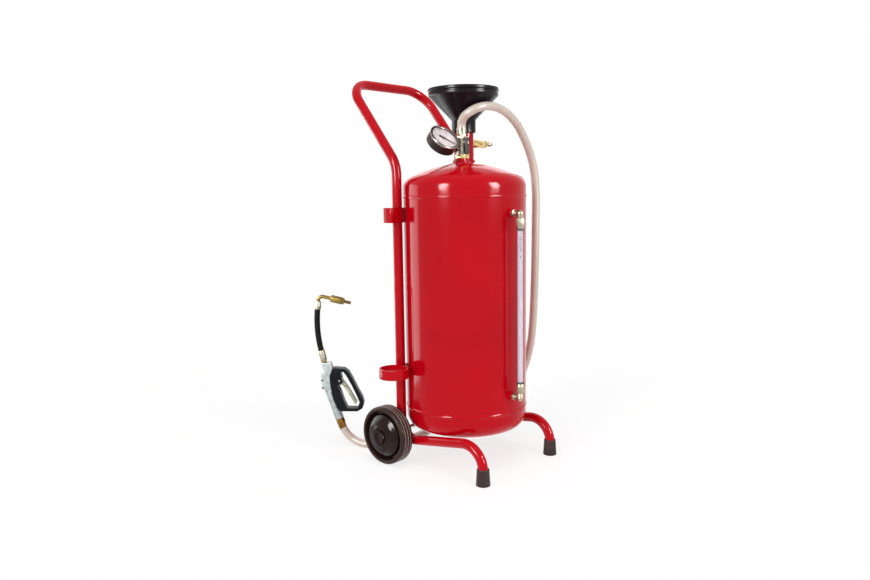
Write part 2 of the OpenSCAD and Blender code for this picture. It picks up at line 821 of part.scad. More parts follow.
module valve_body() {
    color("lightgray") difference() {
        union() {
            at_neck(body_low_z) cylinder(r = body_hex_r, h = 5, $fn = 6);
            at_neck(body_low_z) cylinder(r = body_r, h = body_top_z - body_low_z);
            at_neck(body_top_z - 5) cylinder(r = body_hex_r, h = 5, $fn = 6);
            at_neck(port_z) rotate([0, -90, 0]) cylinder(r = 5.5, h = port_out);
            at_neck(ball_z) rotate([90, 0, 0]) cylinder(r = 5, h = stem_out - side_gap);
        }
        at_neck(body_low_z - past) cylinder(r = flow_d / 2, h = 60);
        at_neck(ball_z - ball_r - 2) cylinder(r = ball_r + run_gap, h = ball_d + 4);
        at_neck(port_z) rotate([0, -90, 0]) cylinder(r = 1.5, h = 20);
        at_neck(ball_z) rotate([90, 0, 0]) cylinder(r = stem_r + run_gap, h = stem_out + past);
    }
}

// Two seat rings that hold the ball from below and above
module valve_seats() {
    color("white") difference() {
        for (up = [0, 1]) at_neck(ball_z) mirror([0, 0, up])
            translate([0, 0, 4]) ring(ball_r, flow_d / 2, ball_r - 2);
        at_neck(ball_z) sphere(r = ball_r + run_gap);
    }
}

module valve_ball() {
    color("silver") difference() {
        at_neck(ball_z) sphere(r = ball_r);
        at_neck(ball_z - ball_d) cylinder(r = flow_d / 2, h = 2 * ball_d);
        at_neck(ball_z) rotate([90, 0, 0]) translate([0, 0, ball_r - 1.5])
            cylinder(r = stem_r + seat_gap, h = 5);
    }
}

// Stem from the ball, through the body's wall, to the lever
module valve_stem() {
    color("silver") at_neck(ball_z) rotate([90, 0, 0]) translate([0, 0, ball_r - 1.4])
        cylinder(r = stem_r, h = stem_out + lever_t + 2.2 - ball_r + 1.4);
}

// Flat lever, upright when the valve is open
module valve_lever() {
    half = lever_w / 2;
    long = lever_len - lever_short;
    color("#16120f") difference() {
        at_neck(ball_z) rotate([90, 0, 0]) translate([0, 0, stem_out]) {
            linear_extrude(lever_t) polygon(rounded([
                [-half, lever_short], [half, lever_short], [half, -long], [-half, -long]
            ], 3));
            cylinder(r = 4.6, h = lever_t + 1.2);
        }
        at_neck(ball_z) rotate([90, 0, 0]) cylinder(r = stem_r + seat_gap, h = 40);
    }
}

// Hexagon and crimped ferrule that carry the hose
module hose_tail() {
    color("#c9bfae") at_neck(body_top_z) difference() {
        union() {
            cylinder(r = 9.6, h = tail_hex_h, $fn = 6);
            translate([0, 0, tail_hex_h]) rotate_extrude() difference() {
                square([ferrule_r, ferrule_h]);
                for (z = [3, 6.5, 10]) translate([ferrule_r - 0.6, z - 0.6]) square([1, 1.2]);
            }
        }
        translate([0, 0, -past]) cylinder(r = flow_d / 2, h = 40);
    }
}

// ---------------------------------------------------------------- gauge

// Places its children in the gauge's own frame
module at_gauge() {
    translate(gauge_at) rotate([0, 0, gauge_yaw]) rotate([gauge_tilt, 0, 0])
        rotate([0, 0, gauge_roll]) children();
}

// Short bent piece between the valve's port and the gauge's stem
module gauge_elbow() {
    color("#3a3430") bent_bar([
        elbow_at + [elbow_arm, 0, 0], elbow_at, elbow_at - (socket_len - socket_block) * stem_dir
    ], [4.2], port_elbow_r);
}

// Cup that holds the gauge's dial, with the square block of its stem
module gauge_case() {
    cup = gauge_r - gauge_wall;
    block = gauge_r + socket_block;
    color("#191516") at_gauge() {
        translate([0, 0, gauge_front - gauge_depth]) rotate_extrude($fn = 128) polygon([
            [0, 0], [gauge_r - 3, 0], [gauge_r - 0.8, 2.2], [gauge_r - 0.8, gauge_depth - 5],
            [gauge_r, gauge_depth - 4.5], [gauge_r, gauge_depth - 1], [gauge_r - 1, gauge_depth],
            [cup, gauge_depth], [cup, gauge_depth - 6.5], [cup - 1, gauge_depth - 6.5],
            [cup - 1, 3], [0, 3]
        ]);
        translate([-5.5, -block, -4.5]) cube([11, block - gauge_r + 1.8, 9]);
    }
}

module gauge_dial() {
    color("white") at_gauge() translate([0, 0, dial_z - 1])
        cylinder(r = gauge_r - gauge_wall - 1.1, h = 1, $fn = 96);
}

// Needle on its spindle, at rest on the dial's zero
module gauge_needle() {
    color("black") at_gauge() translate([0, 0, dial_z + 0.5]) rotate(-zero_angle) {
        cylinder(r = 3, h = 1.2);
        linear_extrude(0.6) polygon([[-1.6, -8], [1.6, -8], [1.1, 0], [0.4, 23], [-0.4, 23], [-1.1, 0]]);
    }
}

module gauge_lens() {
    color("lightblue", 0.3) at_gauge() translate([0, 0, gauge_front - 2.2])
        cylinder(r = gauge_r - gauge_wall - seat_gap, h = 1.2, $fn = 96);
}

// ---------------------------------------------------------------- sight tube

// Places its children at height z, their X pointing straight out of the tank
module at_sight(z) { rotate([0, 0, sight_turn]) translate([0, 0, z]) children(); }

module sight_bosses() {
    color("firebrick") difference() {
        for (z = [sight_high_z, sight_low_z]) at_sight(z) rotate([0, 90, 0])
            translate([0, 0, tank_r - 4]) cylinder(r = sight_boss_r, h = sight_boss_len + 4);
        translate([0, 0, sight_low_z - 40])
            cylinder(r = tank_r, h = sight_high_z - sight_low_z + 80, $fn = 128);
        for (z = [sight_high_z, sight_low_z]) at_sight(z) rotate([0, 90, 0])
            cylinder(r = 4, h = tank_r + 30);
    }
}

// Brass elbows, screwed into the bosses and bent towards each other
module sight_elbows() {
    color("#cdb98a") for (end = [[sight_high_z, 1], [sight_low_z, 0]]) at_sight(end[0])
        mirror([0, 0, end[1]]) difference() {
            union() {
                translate([tank_r, 0, 0]) rotate([0, 90, 0])
                    cylinder(r = 4 - seat_gap, h = sight_boss_len + 1);
                translate([tank_r + sight_boss_len, 0, 0]) rotate([0, 90, 0])
                    cylinder(r = 7.6, h = 4, $fn = 6);
                translate([tank_r + sight_boss_len, 0, 0]) rotate([0, 90, 0])
                    cylinder(r = elbow_r - 0.5, h = sight_r - tank_r - sight_boss_len);
                translate([sight_r, 0, 0]) sphere(r = elbow_r);
                translate([sight_r, 0, 0]) cylinder(r = elbow_r - 0.5, h = nut_gap);
            }
            translate([tank_r - past, 0, 0]) rotate([0, 90, 0])
                cylinder(r = 2.5, h = sight_r - tank_r + past);
            translate([sight_r, 0, 0]) cylinder(r = 2.5, h = 30);
        }
}

// Compression nuts that take the tube's ends
module sight_nuts() {
    color("#bfae86") for (end = [[sight_high_z, 1], [sight_low_z, 0]]) at_sight(end[0])
        mirror([0, 0, end[1]]) translate([sight_r, 0, nut_gap]) difference() {
            union() {
                cylinder(r = nut_r, h = nut_h - 5, $fn = 6);
                cylinder(r = nut_r - 1.4, h = nut_h);
            }
            translate([0, 0, nut_h - tube_seat]) cylinder(r = sight_d / 2 + seat_gap, h = nut_h);
            translate([0, 0, -past]) cylinder(r = 2.5, h = nut_h);
        }
}

module sight_seals() {
    color("black") for (end = [[sight_high_z, 1], [sight_low_z, 0]]) at_sight(end[0])
        mirror([0, 0, end[1]]) translate([sight_r, 0, nut_gap + nut_h])
            ring(nut_r - 1, sight_d / 2 + seat_gap, seal_h);
}

module sight_tube() {
    color("lavender", 0.6) at_sight(tube_low_z - tube_seat) translate([sight_r, 0, 0])
        ring(sight_d / 2, sight_d / 2 - 1.4, tube_top_z - tube_low_z + 2 * tube_seat);
}

// ---------------------------------------------------------------- hose

hose_steps = 2;
hose_sides = 10;

// Braided hose, swept along its route with sides turned as little as can be
module hose() {
    path = concat(
        [for (i = [0 : len(hose_route) - 2]) for (k = [0 : hose_steps - 1])
            curve_at(hose_route, i, k / hose_steps)],
        [hose_route[len(hose_route) - 1]]);
    last = len(path) - 1;
    heads = [for (i = [0 : last])
        i == 0 ? [0, 0, 1] : i == last ? gun_dir : unit(path[i + 1] - path[i - 1])];
    sides = [for (i = 0, s = [1, 0, 0]; i <= last;
                  i = i + 1, s = i > last ? s : unit(s - heads[i] * (s * heads[i]))) s];
    points = [for (i = [0 : last]) for (k = [0 : hose_sides - 1])
        let (a = 360 * k / hose_sides, s = sides[i], t = cross(heads[i], s))
        path[i] + hose_d / 2 * (s * cos(a) + t * sin(a))];
    n = hose_sides;
    faces = concat(
        [[for (k = [0 : n - 1]) k]],
        [for (i = [0 : last - 1]) for (k = [0 : n - 1]) for (half = [0, 1])
            let (a = i * n + k, b = i * n + (k + 1) % n, c = a + n, d = b + n)
            half == 0 ? [a, c, b] : [b, c, d]],
        [[for (k = [n - 1 : -1 : 0]) last * n + k]]);
    color("#dccfc4") polyhedron(points, faces);
}

// ---------------------------------------------------------------- gun

// Places its children in the gun's own frame
module at_gun() { translate(gun_base) rotate([0, 0, gun_turn]) children(); }

// Places its children along the grip's axis
module at_grip() { at_gun() rotate([0, -gun_lean, 0]) children(); }

// A plate in the gun's plane, w wide, from an outline in X and Z
module gun_plate(points, w) {
    rotate([90, 0, 0]) translate([0, 0, -w / 2]) linear_extrude(w) polygon(points);
}

// A point of the gun's plane as a point of its frame
function in_plane(p) = [p[0], 0, p[1]];

// Brass swivel on the hose's end, in which the gun's inlet turns
module gun_swivel() {
    color("#8a6a2a") at_grip() difference() {
        union() {
            cylinder(r = swivel_r, h = swivel_len * 0.5);
            translate([0, 0, swivel_len * 0.5])
                cylinder(r = swivel_r + 1, h = swivel_len * 0.5, $fn = 6);
        }
        translate([0, 0, 6]) cylinder(r = inlet_r + run_gap, h = swivel_len);
        translate([0, 0, -past]) cylinder(r = flow_d / 2 - 0.5, h = swivel_len);
    }
}

// Outline of the valve chamber above the grip
chamber = [
    [-37, 84], [-19, 80], [-17.5, 118], [-18, 136], [-21, body_top],
    [-42, body_top], [-37.5, 128], [-37.5, 100]
];

// Cast body: inlet stub, grip, valve chamber and the boss beside it
module gun_body() {
    color("#c9ccce") at_gun() difference() {
        union() {
            rotate([0, -gun_lean, 0]) {
                translate([0, 0, 6.5]) cylinder(r = inlet_r, h = swivel_len);
                translate([0, 0, swivel_len + side_gap])
                    cylinder(r = grip_r, h = grip_top - swivel_len);
            }
            gun_plate(rounded(chamber, 2.5), body_w);
            translate([-39.5, 0, 91.5]) cylinder(r = 5.8, h = 33.5);
        }
        rotate([0, -gun_lean, 0]) cylinder(r = flow_d / 2 - 0.5, h = 104);
        rod([-27, 0, 100], [collar_x, 0, body_top + past], 3);
        translate([-42, 0, pivot[1] - plunger_drop]) rotate([0, 90, 0])
            cylinder(r = plunger_r + run_gap, h = 40);
    }
}

// Outline of the guard and of the opening for the fingers
guard_outline = [
    [-17.7, 136], [8.5, 133.3], [17.1, 126.4], [25.4, 110.6], [35.7, 88], [46.1, 67.5],
    [49.1, 56.1], [45.5, 44.8], [34.3, 38.2], [-3.2, 38.8], [-9.6, 45.7], [-17.7, 66.2],
    [-23.4, 93.4], [-24.8, 118.1]
];
guard_gap = [
    [-0.4, 126.7], [6.1, 126.6], [12.4, 117.5], [22.8, 97.2], [33.1, 74.4], [39.3, 58.5],
    [34.5, 45], [12.4, 45.3], [6.2, 59], [-1.8, 84], [-7.9, 97.6], [3.2, 102]
];

// Moulded guard that wraps the grip and shields the trigger
module gun_guard() {
    color("#14161a") at_gun() difference() {
        gun_plate(rounded(guard_outline, 6), guard_w);
        gun_plate(rounded(guard_gap, 2.5), guard_w + 2 * past);
        rotate([0, -gun_lean, 0]) cylinder(r = grip_r + seat_gap, h = 170);
        gun_plate([
            [-60, 78], [-19 + seat_gap, 78], [-19 + seat_gap, 80], [-17.5 + seat_gap, 118],
            [-18 + seat_gap, 137], [-60, 137]
        ], body_w + 2 * seat_gap);
        // Pocket in which the trigger's root swings
        gun_plate([
            [-12.5, 117], [4, 117], [14, 104], [16, 86], [-1, 80], [-8, 92], [-12.5, 98]
        ], trigger_w + 2 * side_gap);
        translate([pivot[0], 0, pivot[1]]) rotate([90, 0, 0])
            cylinder(r = pivot_r + seat_gap, h = 60, center = true);
        translate([-40, 0, pivot[1] - plunger_drop]) rotate([0, 90, 0])
            cylinder(r = plunger_r + run_gap, h = 36);
    }
}

// Long lever under the fingers
module gun_trigger() {
    color("#b4b6ac") at_gun() difference() {
        gun_plate(rounded([
            [-9.5, 110], [-6, 113.5], [1, 111.5], [17, 88], [33, 58], [32, 53.5],
            [28.5, 53], [12, 83], [2, 97], [-5, 96]
        ], 1.6), trigger_w);
        translate([pivot[0], 0, pivot[1]]) rotate([90, 0, 0])
            cylinder(r = pivot_r + run_gap, h = 60, center = true);
    }
}

module trigger_pin() {
    color("silver") at_gun() translate([pivot[0], 0, pivot[1]]) rotate([90, 0, 0])
        cylinder(r = pivot_r, h = guard_w - 1, center = true);
}

// Pushrod that the trigger drives into the valve chamber
module valve_plunger() {
    color("goldenrod") at_gun() translate([-6.9 - plunger_len, 0, pivot[1] - plunger_drop])
        rotate([0, 90, 0]) cylinder(r = plunger_r, h = plunger_len);
}

// ---------------------------------------------------------------- spout

// Brass collar on the gun's outlet and the ferrule that grips the spout
module spout_ferrule() {
    color("#b9b7a4") at_gun() difference() {
        union() {
            translate([collar_x, 0, body_top]) cylinder(r = 6, h = 3, $fn = 6);
            translate([collar_x, 0, body_top]) cylinder(r = 4.6, h = 4.5);
            rod(in_plane(ferrule_at), in_plane(spout_at), 7.6);
        }
        rod([collar_x, 0, body_top - past], in_plane(ferrule_at + spout_from), 3);
        rod(in_plane(ferrule_at), in_plane(spout_at + spout_from), 3);
    }
}

// Flexible spout, a length of black hose that keeps its curve
module spout_hose() {
    u = in_plane(spout_from);
    v = in_plane(spout_to);
    color("#1b1d1a") at_gun() difference() {
        bend(in_plane(spout_corner), u, v, spout_bend_r, spout_r);
        bend(in_plane(spout_corner), u, v, spout_bend_r, 3);
    }
}

module end_ferrule() {
    top = spout_end + end_ferrule_len * spout_to;
    color("#b9b7a4") at_gun() difference() {
        union() {
            rod(in_plane(spout_end), in_plane(spout_end + 10 * spout_to), 7.4);
            rod(in_plane(spout_end), in_plane(top), 6.4);
        }
        rod(in_plane(spout_end - spout_to), in_plane(top + spout_to), 2.5);
    }
}

// Bent brass pipe that turns the oil down into the filler
module spout_pipe() {
    path = [
        in_plane(nozzle_at - 12.2 * spout_to), in_plane(nozzle_at),
        in_plane(nozzle_at + nozzle_reach * nozzle_dir)
    ];
    color("#caa24a") at_gun() bent_bar(path, [nozzle_bend_r], nozzle_pipe_r);
}

// Hexagon body of the non-drip nozzle with its slim tip
module spout_nozzle() {
    start = nozzle_at + nozzle_reach * nozzle_dir;
    color("#d0ab52") at_gun() translate(in_plane(start)) rotate([0, 90 + nozzle_drop, 0])
        difference() {
            union() {
                cylinder(r = 8, h = nozzle_hex_len - 4, $fn = 6);
                cylinder(r = 6.9, h = nozzle_hex_len);
                cylinder(r = 3.5, h = nozzle_hex_len + nozzle_tip_len);
            }
            translate([0, 0, 2]) cylinder(r = 2, h = 60);
        }
}

// ---------------------------------------------------------------- pieces

translate(-origin_at) {
tank_shell();
top_head();
bottom_head();
seam_beads();
tank_lugs();
handle_tube();
left_leg_tube();
right_leg_tube();
foot_caps();
axle_sleeves();
axle();
axle_washers();
axle_clips();
left_tyre();
left_hub();
left_bush();
left_hub_cap();
right_tyre();
right_hub();
right_bush();
right_hub_cap();
upper_holder();
lower_holder();
filler_pipe();
funnel();
filler_plug();
plug_seal();
air_valve();
air_nipple();
outlet_neck();
dip_tube();
neck_reducer();
valve_body();
valve_seats();
valve_ball();
valve_stem();
valve_lever();
hose_tail();
gauge_elbow();
gauge_case();
gauge_dial();
gauge_needle();
gauge_lens();
sight_bosses();
sight_elbows();
sight_nuts();
sight_seals();
sight_tube();
hose();
gun_swivel();
gun_body();
gun_guard();
gun_trigger();
trigger_pin();
valve_plunger();
spout_ferrule();
spout_hose();
end_ferrule();
spout_pipe();
spout_nozzle();
}
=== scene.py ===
"""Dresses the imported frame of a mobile, air-operated oil dispenser on its trolley."""

import logging
import math
from contextlib import contextmanager
from dataclasses import dataclass, field
from enum import Enum
from typing import Iterator, Sequence

import bpy
from mathutils import Matrix, Vector


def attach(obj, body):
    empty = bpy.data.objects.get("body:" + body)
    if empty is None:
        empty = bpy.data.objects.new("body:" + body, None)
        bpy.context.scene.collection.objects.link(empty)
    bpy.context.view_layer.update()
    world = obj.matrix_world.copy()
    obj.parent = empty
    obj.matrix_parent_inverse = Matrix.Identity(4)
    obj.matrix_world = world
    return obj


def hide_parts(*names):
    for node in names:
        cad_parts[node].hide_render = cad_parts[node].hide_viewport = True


logging.basicConfig(level=logging.INFO, format="%(message)s")
log = logging.getLogger("dispenser")

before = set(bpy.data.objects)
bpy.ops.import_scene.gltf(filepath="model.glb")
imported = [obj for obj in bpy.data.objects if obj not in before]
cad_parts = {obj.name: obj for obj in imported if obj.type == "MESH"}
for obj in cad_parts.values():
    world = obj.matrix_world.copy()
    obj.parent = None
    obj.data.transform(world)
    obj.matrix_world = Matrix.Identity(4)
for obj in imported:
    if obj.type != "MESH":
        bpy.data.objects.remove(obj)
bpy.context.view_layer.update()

Pair = tuple[float, float]
Triple = tuple[float, float, float]
Piece = bpy.types.Object
Socket = bpy.types.NodeSocket

MM = 0.001
HERE = Matrix.Identity(4)
# The frame's origin, seen from the tank's axis at the floor, in millimetres
ORIGIN = Vector((-5.0, 63.0, 0.0))


# ------------------------------------------------------------------ places

def spot(x: float, y: float, z: float) -> Vector:
    """A place measured from the tank's axis in millimetres, in the frame's metres.

    Args:
        x: To the right.
        y: Away from the camera's side.
        z: Height over the floor.

    Returns:
        The place in metres.
    """
    return (Vector((x, y, z)) - ORIGIN) * MM


def turned(angle: float, axis: str) -> Matrix:
    """A turn by an angle in degrees about one of the axes X, Y and Z."""
    return Matrix.Rotation(math.radians(angle), 4, axis)


def moved(x: float, y: float, z: float) -> Matrix:
    """A shift by x, y and z in millimetres, as a matrix."""
    return Matrix.Translation(Vector((x, y, z)))


def aimed(place: Triple, aim: Triple) -> Matrix:
    """The placing matrix, in metres, of a thing at place whose -Z looks at aim."""
    way = Vector(aim) - Vector(place)
    turn = way.to_track_quat("-Z", "Y").to_matrix().to_4x4()
    return Matrix.Translation(Vector(place)) @ turn


def in_metres(place: Matrix) -> Matrix:
    """The matrix that takes millimetres in the frame of place to the model's metres."""
    return Matrix.Scale(MM, 4) @ Matrix.Translation(-ORIGIN) @ place


# ------------------------------------------------------------------ colours and finishes

def linear(value: str) -> tuple[float, float, float, float]:
    """A colour written as six hexadecimal digits, as the linear values of a shader."""
    parts = [int(value[i:i + 2], 16) / 255 for i in (0, 2, 4)]
    out = [p / 12.92 if p <= 0.04045 else ((p + 0.055) / 1.055) ** 2.4 for p in parts]
    return (out[0], out[1], out[2], 1.0)


class Graph:
    """The emptied node tree of a new material or world."""

    def __init__(self, owner: bpy.types.Material | bpy.types.World) -> None:
        """Empties the owner's node tree."""
        owner.use_nodes = True
        self.tree = owner.node_tree
        self.tree.nodes.clear()

    def node(self, kind: str, **values: object) -> bpy.types.Node:
        """A new shader node.

        Args:
            kind: Its type, without the words that all shader nodes share.
            **values: Values of its inputs; an underscore in a name stands for a space.

        Returns:
            The node.
        """
        node = self.tree.nodes.new(f"ShaderNode{kind}")
        for name, value in values.items():
            node.inputs[name.replace("_", " ")].default_value = value
        return node

    def link(self, source: Socket, target: Socket) -> None:
        """Joins two sockets."""
        self.tree.links.new(source, target)

    def ramp(self, value: Socket, low: float, high: float,
             out_low: float, out_high: float) -> Socket:
        """A value's range taken to another range, and held at its ends.

        Args:
            value: The value.
            low: The value that becomes out_low.
            high: The value that becomes out_high.
            out_low: What low becomes.
            out_high: What high becomes.

        Returns:
            The new value.
        """
        node = self.node("MapRange", From_Min=low, From_Max=high, To_Min=out_low,
                         To_Max=out_high)
        self.link(value, node.inputs["Value"])
        return node.outputs[0]

    def math(self, how: str, *values: Socket | float) -> Socket:
        """One step of arithmetic on sockets or numbers."""
        node = self.node("Math")
        node.operation = how
        for socket, value in zip(node.inputs, values):
            if isinstance(value, (int, float)):
                socket.default_value = value
            else:
                self.link(value, socket)
        return node.outputs[0]


class Bench(Graph):
    """Lays out the nodes of one material."""

    def __init__(self, name: str) -> None:
        """Starts an empty material of that name."""
        self.material = bpy.data.materials.new(name)
        super().__init__(self.material)
        self.shader = self.node("BsdfPrincipled")
        self.link(self.shader.outputs[0], self.node("OutputMaterial").inputs[0])
        self.coords = self.node("TexCoord")

    def set(self, **values: object) -> None:
        """Sets sockets of the shader; an underscore in a name stands for a space."""
        for name, value in values.items():
            self.shader.inputs[name.replace("_", " ")].default_value = value

    def stretched(self, scale: Triple, turn: Triple = (0, 0, 0)) -> Socket:
        """Object coordinates, stretched and turned by a Mapping node."""
        node = self.node("Mapping", Scale=scale, Rotation=turn)
        self.link(self.coords.outputs["Object"], node.inputs["Vector"])
        return node.outputs[0]

    def noise(self, scale: float, detail: float = 3.0, rough: float = 0.55,
              where: Socket | None = None) -> Socket:
        """Noise of a scale per metre.

        Args:
            scale: How often the noise repeats in a metre.
            detail: Octaves of finer noise.
            rough: Strength of the finer noise.
            where: The coordinates, or the object's own.

        Returns:
            The noise's value.
        """
        node = self.node("TexNoise", Scale=scale, Detail=detail, Roughness=rough)
        self.link(where or self.coords.outputs["Object"], node.inputs["Vector"])
        return node.outputs["Fac"]

    def cells(self, scale: float) -> Socket:
        """Distance within cells of a scale per metre, for grain and casting skin."""
        node = self.node("TexVoronoi", Scale=scale)
        self.link(self.coords.outputs["Object"], node.inputs["Vector"])
        return node.outputs["Distance"]

    def mixed(self, share: Socket, a: object, b: object) -> Socket:
        """A mix of two colours.

        Args:
            share: Where this is 0 the mix is a, and where it is 1 it is b.
            a: A colour or a socket.
            b: A colour or a socket.

        Returns:
            The mixed colour.
        """
        node = self.node("Mix")
        node.data_type = "RGBA"
        self.link(share, node.inputs[0])
        for socket, value in ((node.inputs[6], a), (node.inputs[7], b)):
            if isinstance(value, Socket):
                self.link(value, socket)
            else:
                socket.default_value = value
        return node.outputs[2]

    def bump(self, height: Socket, depth: float, strength: float = 1.0,
             under: Socket | None = None) -> Socket:
        """A bumped normal.

        Args:
            height: The height's pattern, from 0 to 1.
            depth: How deep the pattern is, in millimetres.
            strength: Share of the bump that is used.
            under: A normal that is bumped already.

        Returns:
            The new normal.
        """
        node = self.node("Bump", Strength=strength, Distance=depth * MM)
        self.link(height, node.inputs["Height"])
        if under is not None:
            self.link(under, node.inputs["Normal"])
        return node.outputs[0]

    def base(self, colour: Socket) -> None:
        """Links the base colour."""
        self.link(colour, self.shader.inputs["Base Color"])

    def rough(self, value: Socket) -> None:
        """Links the roughness."""
        self.link(value, self.shader.inputs["Roughness"])

    def normal(self, value: Socket) -> None:
        """Links the normal."""
        self.link(value, self.shader.inputs["Normal"])


@dataclass(frozen=True)
class Finish:
    """A finish that is laid out once and shared by the pieces that have it."""

    name: str

    def material(self) -> bpy.types.Material:
        """The finish's material, made at its first use."""
        found = bpy.data.materials.get(self.name)
        return found or self.lay(Bench(self.name))

    def lay(self, bench: Bench) -> bpy.types.Material:
        """Lays out the nodes."""
        raise NotImplementedError


@dataclass(frozen=True)
class Enamel(Finish):
    """Glossy sprayed enamel with a slight orange peel."""

    colour: str = "c80318"
    shade: str = "b80214"
    peel: float = 0.02

    def lay(self, bench: Bench) -> bpy.types.Material:
        """Lays out colour clouds, dust specks, peel and fine scratches."""
        clouds = bench.ramp(bench.noise(7, 2), 0.35, 0.7, 0, 0.55)
        tone = bench.mixed(clouds, linear(self.colour), linear(self.shade))
        specks = bench.ramp(bench.noise(420, 2, 0.7), 0.74, 0.8, 0, 0.35)
        bench.base(bench.mixed(specks, tone, linear("7a0512")))
        scuffs = bench.noise(1, 3, 0.6, bench.stretched((60, 60, 9), (0.4, 0.2, 0.5)))
        bench.rough(bench.ramp(scuffs, 0.3, 0.8, 0.08, 0.17))
        peel = bench.bump(bench.noise(230, 2, 0.5), self.peel * 2.2, 0.5)
        bench.normal(bench.bump(bench.noise(1500, 1), self.peel * 0.3, 0.4, peel))
        bench.set(Specular_IOR_Level=0.13)
        return bench.material


class Surface(Enum):
    """How a metal was worked."""

    TURNED = "turned"
    CAST = "cast"
    ROLLED = "rolled"


@dataclass(frozen=True)
class Metal(Finish):
    """Bare or plated metal."""

    colour: str = "b9b6ae"
    shade: str = "8d8880"
    rough_low: float = 0.18
    rough_high: float = 0.36
    surface: Surface = Surface.TURNED

    def lay(self, bench: Bench) -> bpy.types.Material:
        """Lays out tarnish, tool marks or casting skin."""
        tarnish = bench.ramp(bench.noise(90, 4, 0.65), 0.35, 0.72, 0, 1)
        bench.base(bench.mixed(tarnish, linear(self.colour), linear(self.shade)))
        rub = bench.noise(700, 3, 0.6)
        bench.rough(bench.ramp(rub, 0.3, 0.7, self.rough_low, self.rough_high))
        if self.surface is Surface.CAST:
            skin = bench.bump(bench.noise(900, 3, 0.7), 0.12, 0.6)
            bench.normal(bench.bump(bench.cells(420), 0.05, 0.35, skin))
        elif self.surface is Surface.TURNED:
            rings = bench.noise(1, 2, 0.5, bench.stretched((300, 300, 2600)))
            bench.normal(bench.bump(rings, 0.012, 0.5))
        else:
            bench.normal(bench.bump(bench.noise(500, 3), 0.02, 0.5))
        bench.set(Metallic=1.0)
        return bench.material


@dataclass(frozen=True)
class Moulded(Finish):
    """Moulded plastic or rubber."""

    colour: str = "1d1a1a"
    shade: str = "2b2625"
    rough_low: float = 0.3
    rough_high: float = 0.45
    grain: float = 0.03
    gloss: float = 0.25

    def lay(self, bench: Bench) -> bpy.types.Material:
        """Lays out the moulding's grain, its bloom and rubbed places."""
        bloom = bench.ramp(bench.noise(45, 4, 0.6), 0.38, 0.75, 0, 1)
        bench.base(bench.mixed(bloom, linear(self.colour), linear(self.shade)))
        bench.rough(bench.ramp(bench.noise(160, 3), 0.3, 0.7, self.rough_low, self.rough_high))
        bench.normal(bench.bump(bench.noise(1400, 2, 0.6), self.grain, 0.55))
        bench.set(Specular_IOR_Level=self.gloss)
        return bench.material


@dataclass(frozen=True)
class Braid(Finish):
    """Clear pink hose over a crossed white braid, on the hose's own UV map."""

    colour: str = "b5897b"
    yarn: str = "fffaf5"
    turns: float = 7.0
    pitch: float = 44.0

    def lay(self, bench: Bench) -> bpy.types.Material:
        """Lays out two crossing sets of yarns under the hose's clear skin."""
        split = bench.node("SeparateXYZ")
        bench.link(bench.coords.outputs["UV"], split.inputs[0])
        round_it = bench.math("MULTIPLY", split.outputs[0], self.turns)
        on = bench.math("MULTIPLY", split.outputs[1], 1000 * self.turns / self.pitch)
        yarns = []
        for how in ("ADD", "SUBTRACT"):
            wave = bench.math("FRACT", bench.math(how, round_it, on))
            gap = bench.math("ABSOLUTE", bench.math("SUBTRACT", wave, 0.5))
            yarns.append(bench.ramp(gap, 0.13, 0.21, 1, 0))
        crossed = bench.math("MAXIMUM", yarns[0], yarns[1])
        cloud = bench.ramp(bench.noise(28, 3), 0.35, 0.7, 0, 1)
        tone = bench.mixed(cloud, linear(self.colour), linear("a67866"))
        bench.base(bench.mixed(bench.math("MULTIPLY", crossed, 0.92), tone, linear(self.yarn)))
        bench.rough(bench.ramp(bench.noise(120, 3), 0.3, 0.7, 0.24, 0.38))
        bench.normal(bench.bump(crossed, 0.3, 0.6))
        bench.set(Subsurface_Weight=0.12, Subsurface_Radius=(0.006, 0.004, 0.003),
                  Subsurface_Scale=1.0, Specular_IOR_Level=0.3)
        return bench.material


@dataclass(frozen=True)
class Clear(Finish):
    """Clear or milky plastic and glass."""

    colour: str = "ffffff"
    through: float = 1.0
    alpha: float = 1.0
    rough_all: float = 0.05

    def lay(self, bench: Bench) -> bpy.types.Material:
        """Lays out the faint smears that a clear surface shows."""
        smear = bench.ramp(bench.noise(60, 3), 0.35, 0.75, 0, 0.5)
        bench.base(bench.mixed(smear, linear(self.colour), linear("e6e2ee")))
        bench.rough(bench.ramp(bench.noise(220, 3), 0.3, 0.7, self.rough_all,
                               self.rough_all + 0.06))
        bench.normal(bench.bump(bench.noise(150, 2), 0.01, 0.3))
        bench.set(Transmission_Weight=self.through, IOR=1.46, Alpha=self.alpha)
        return bench.material


RED = Enamel("red_enamel")
RED_WELD = Enamel("red_enamel_over_weld", peel=0.05)
TYRE = Moulded("tyre_rubber", "352420", "432f2a", 0.3, 0.42, 0.04, gloss=0.09)
WHEEL = Moulded("brown_black_wheel", "21130f", "2e1c17", 0.12, 0.2, 0.012, gloss=0.11)
# Pale rings at the tread's grooves: painted highlight where the ridges catch light.
TREAD_HIGHLIGHT = Moulded("painted_tread_highlight", "a08a82", "b09b93", 0.4, 0.5, 0.02, gloss=0.1)
FOOT_RUBBER = Moulded("brown_foot_rubber", "382a29", "463736", 0.45, 0.6, 0.05, gloss=0.12)
# This dark finish is real rubber on the seals, and painted shade on the strips in the gaps beside
# the lugs.
RUBBER_AND_SHADE = Moulded("black_rubber", "1c1917", "2a2623", 0.45, 0.62, 0.05, gloss=0.12)
FUNNEL = Moulded("satin_black_funnel", "160b11", "21151b", 0.2, 0.3, 0.02, gloss=0.13)
GUARD = Moulded("black_guard", "0c0f15", "161a21", 0.24, 0.38, 0.03, gloss=0.12)
SPOUT_RUBBER = Moulded("black_spout_rubber", "0d100e", "181b18", 0.4, 0.55, 0.04, gloss=0.08)
BLACK = Moulded("black_plastic", "131112", "211d1e", 0.3, 0.45, 0.02, gloss=0.14)
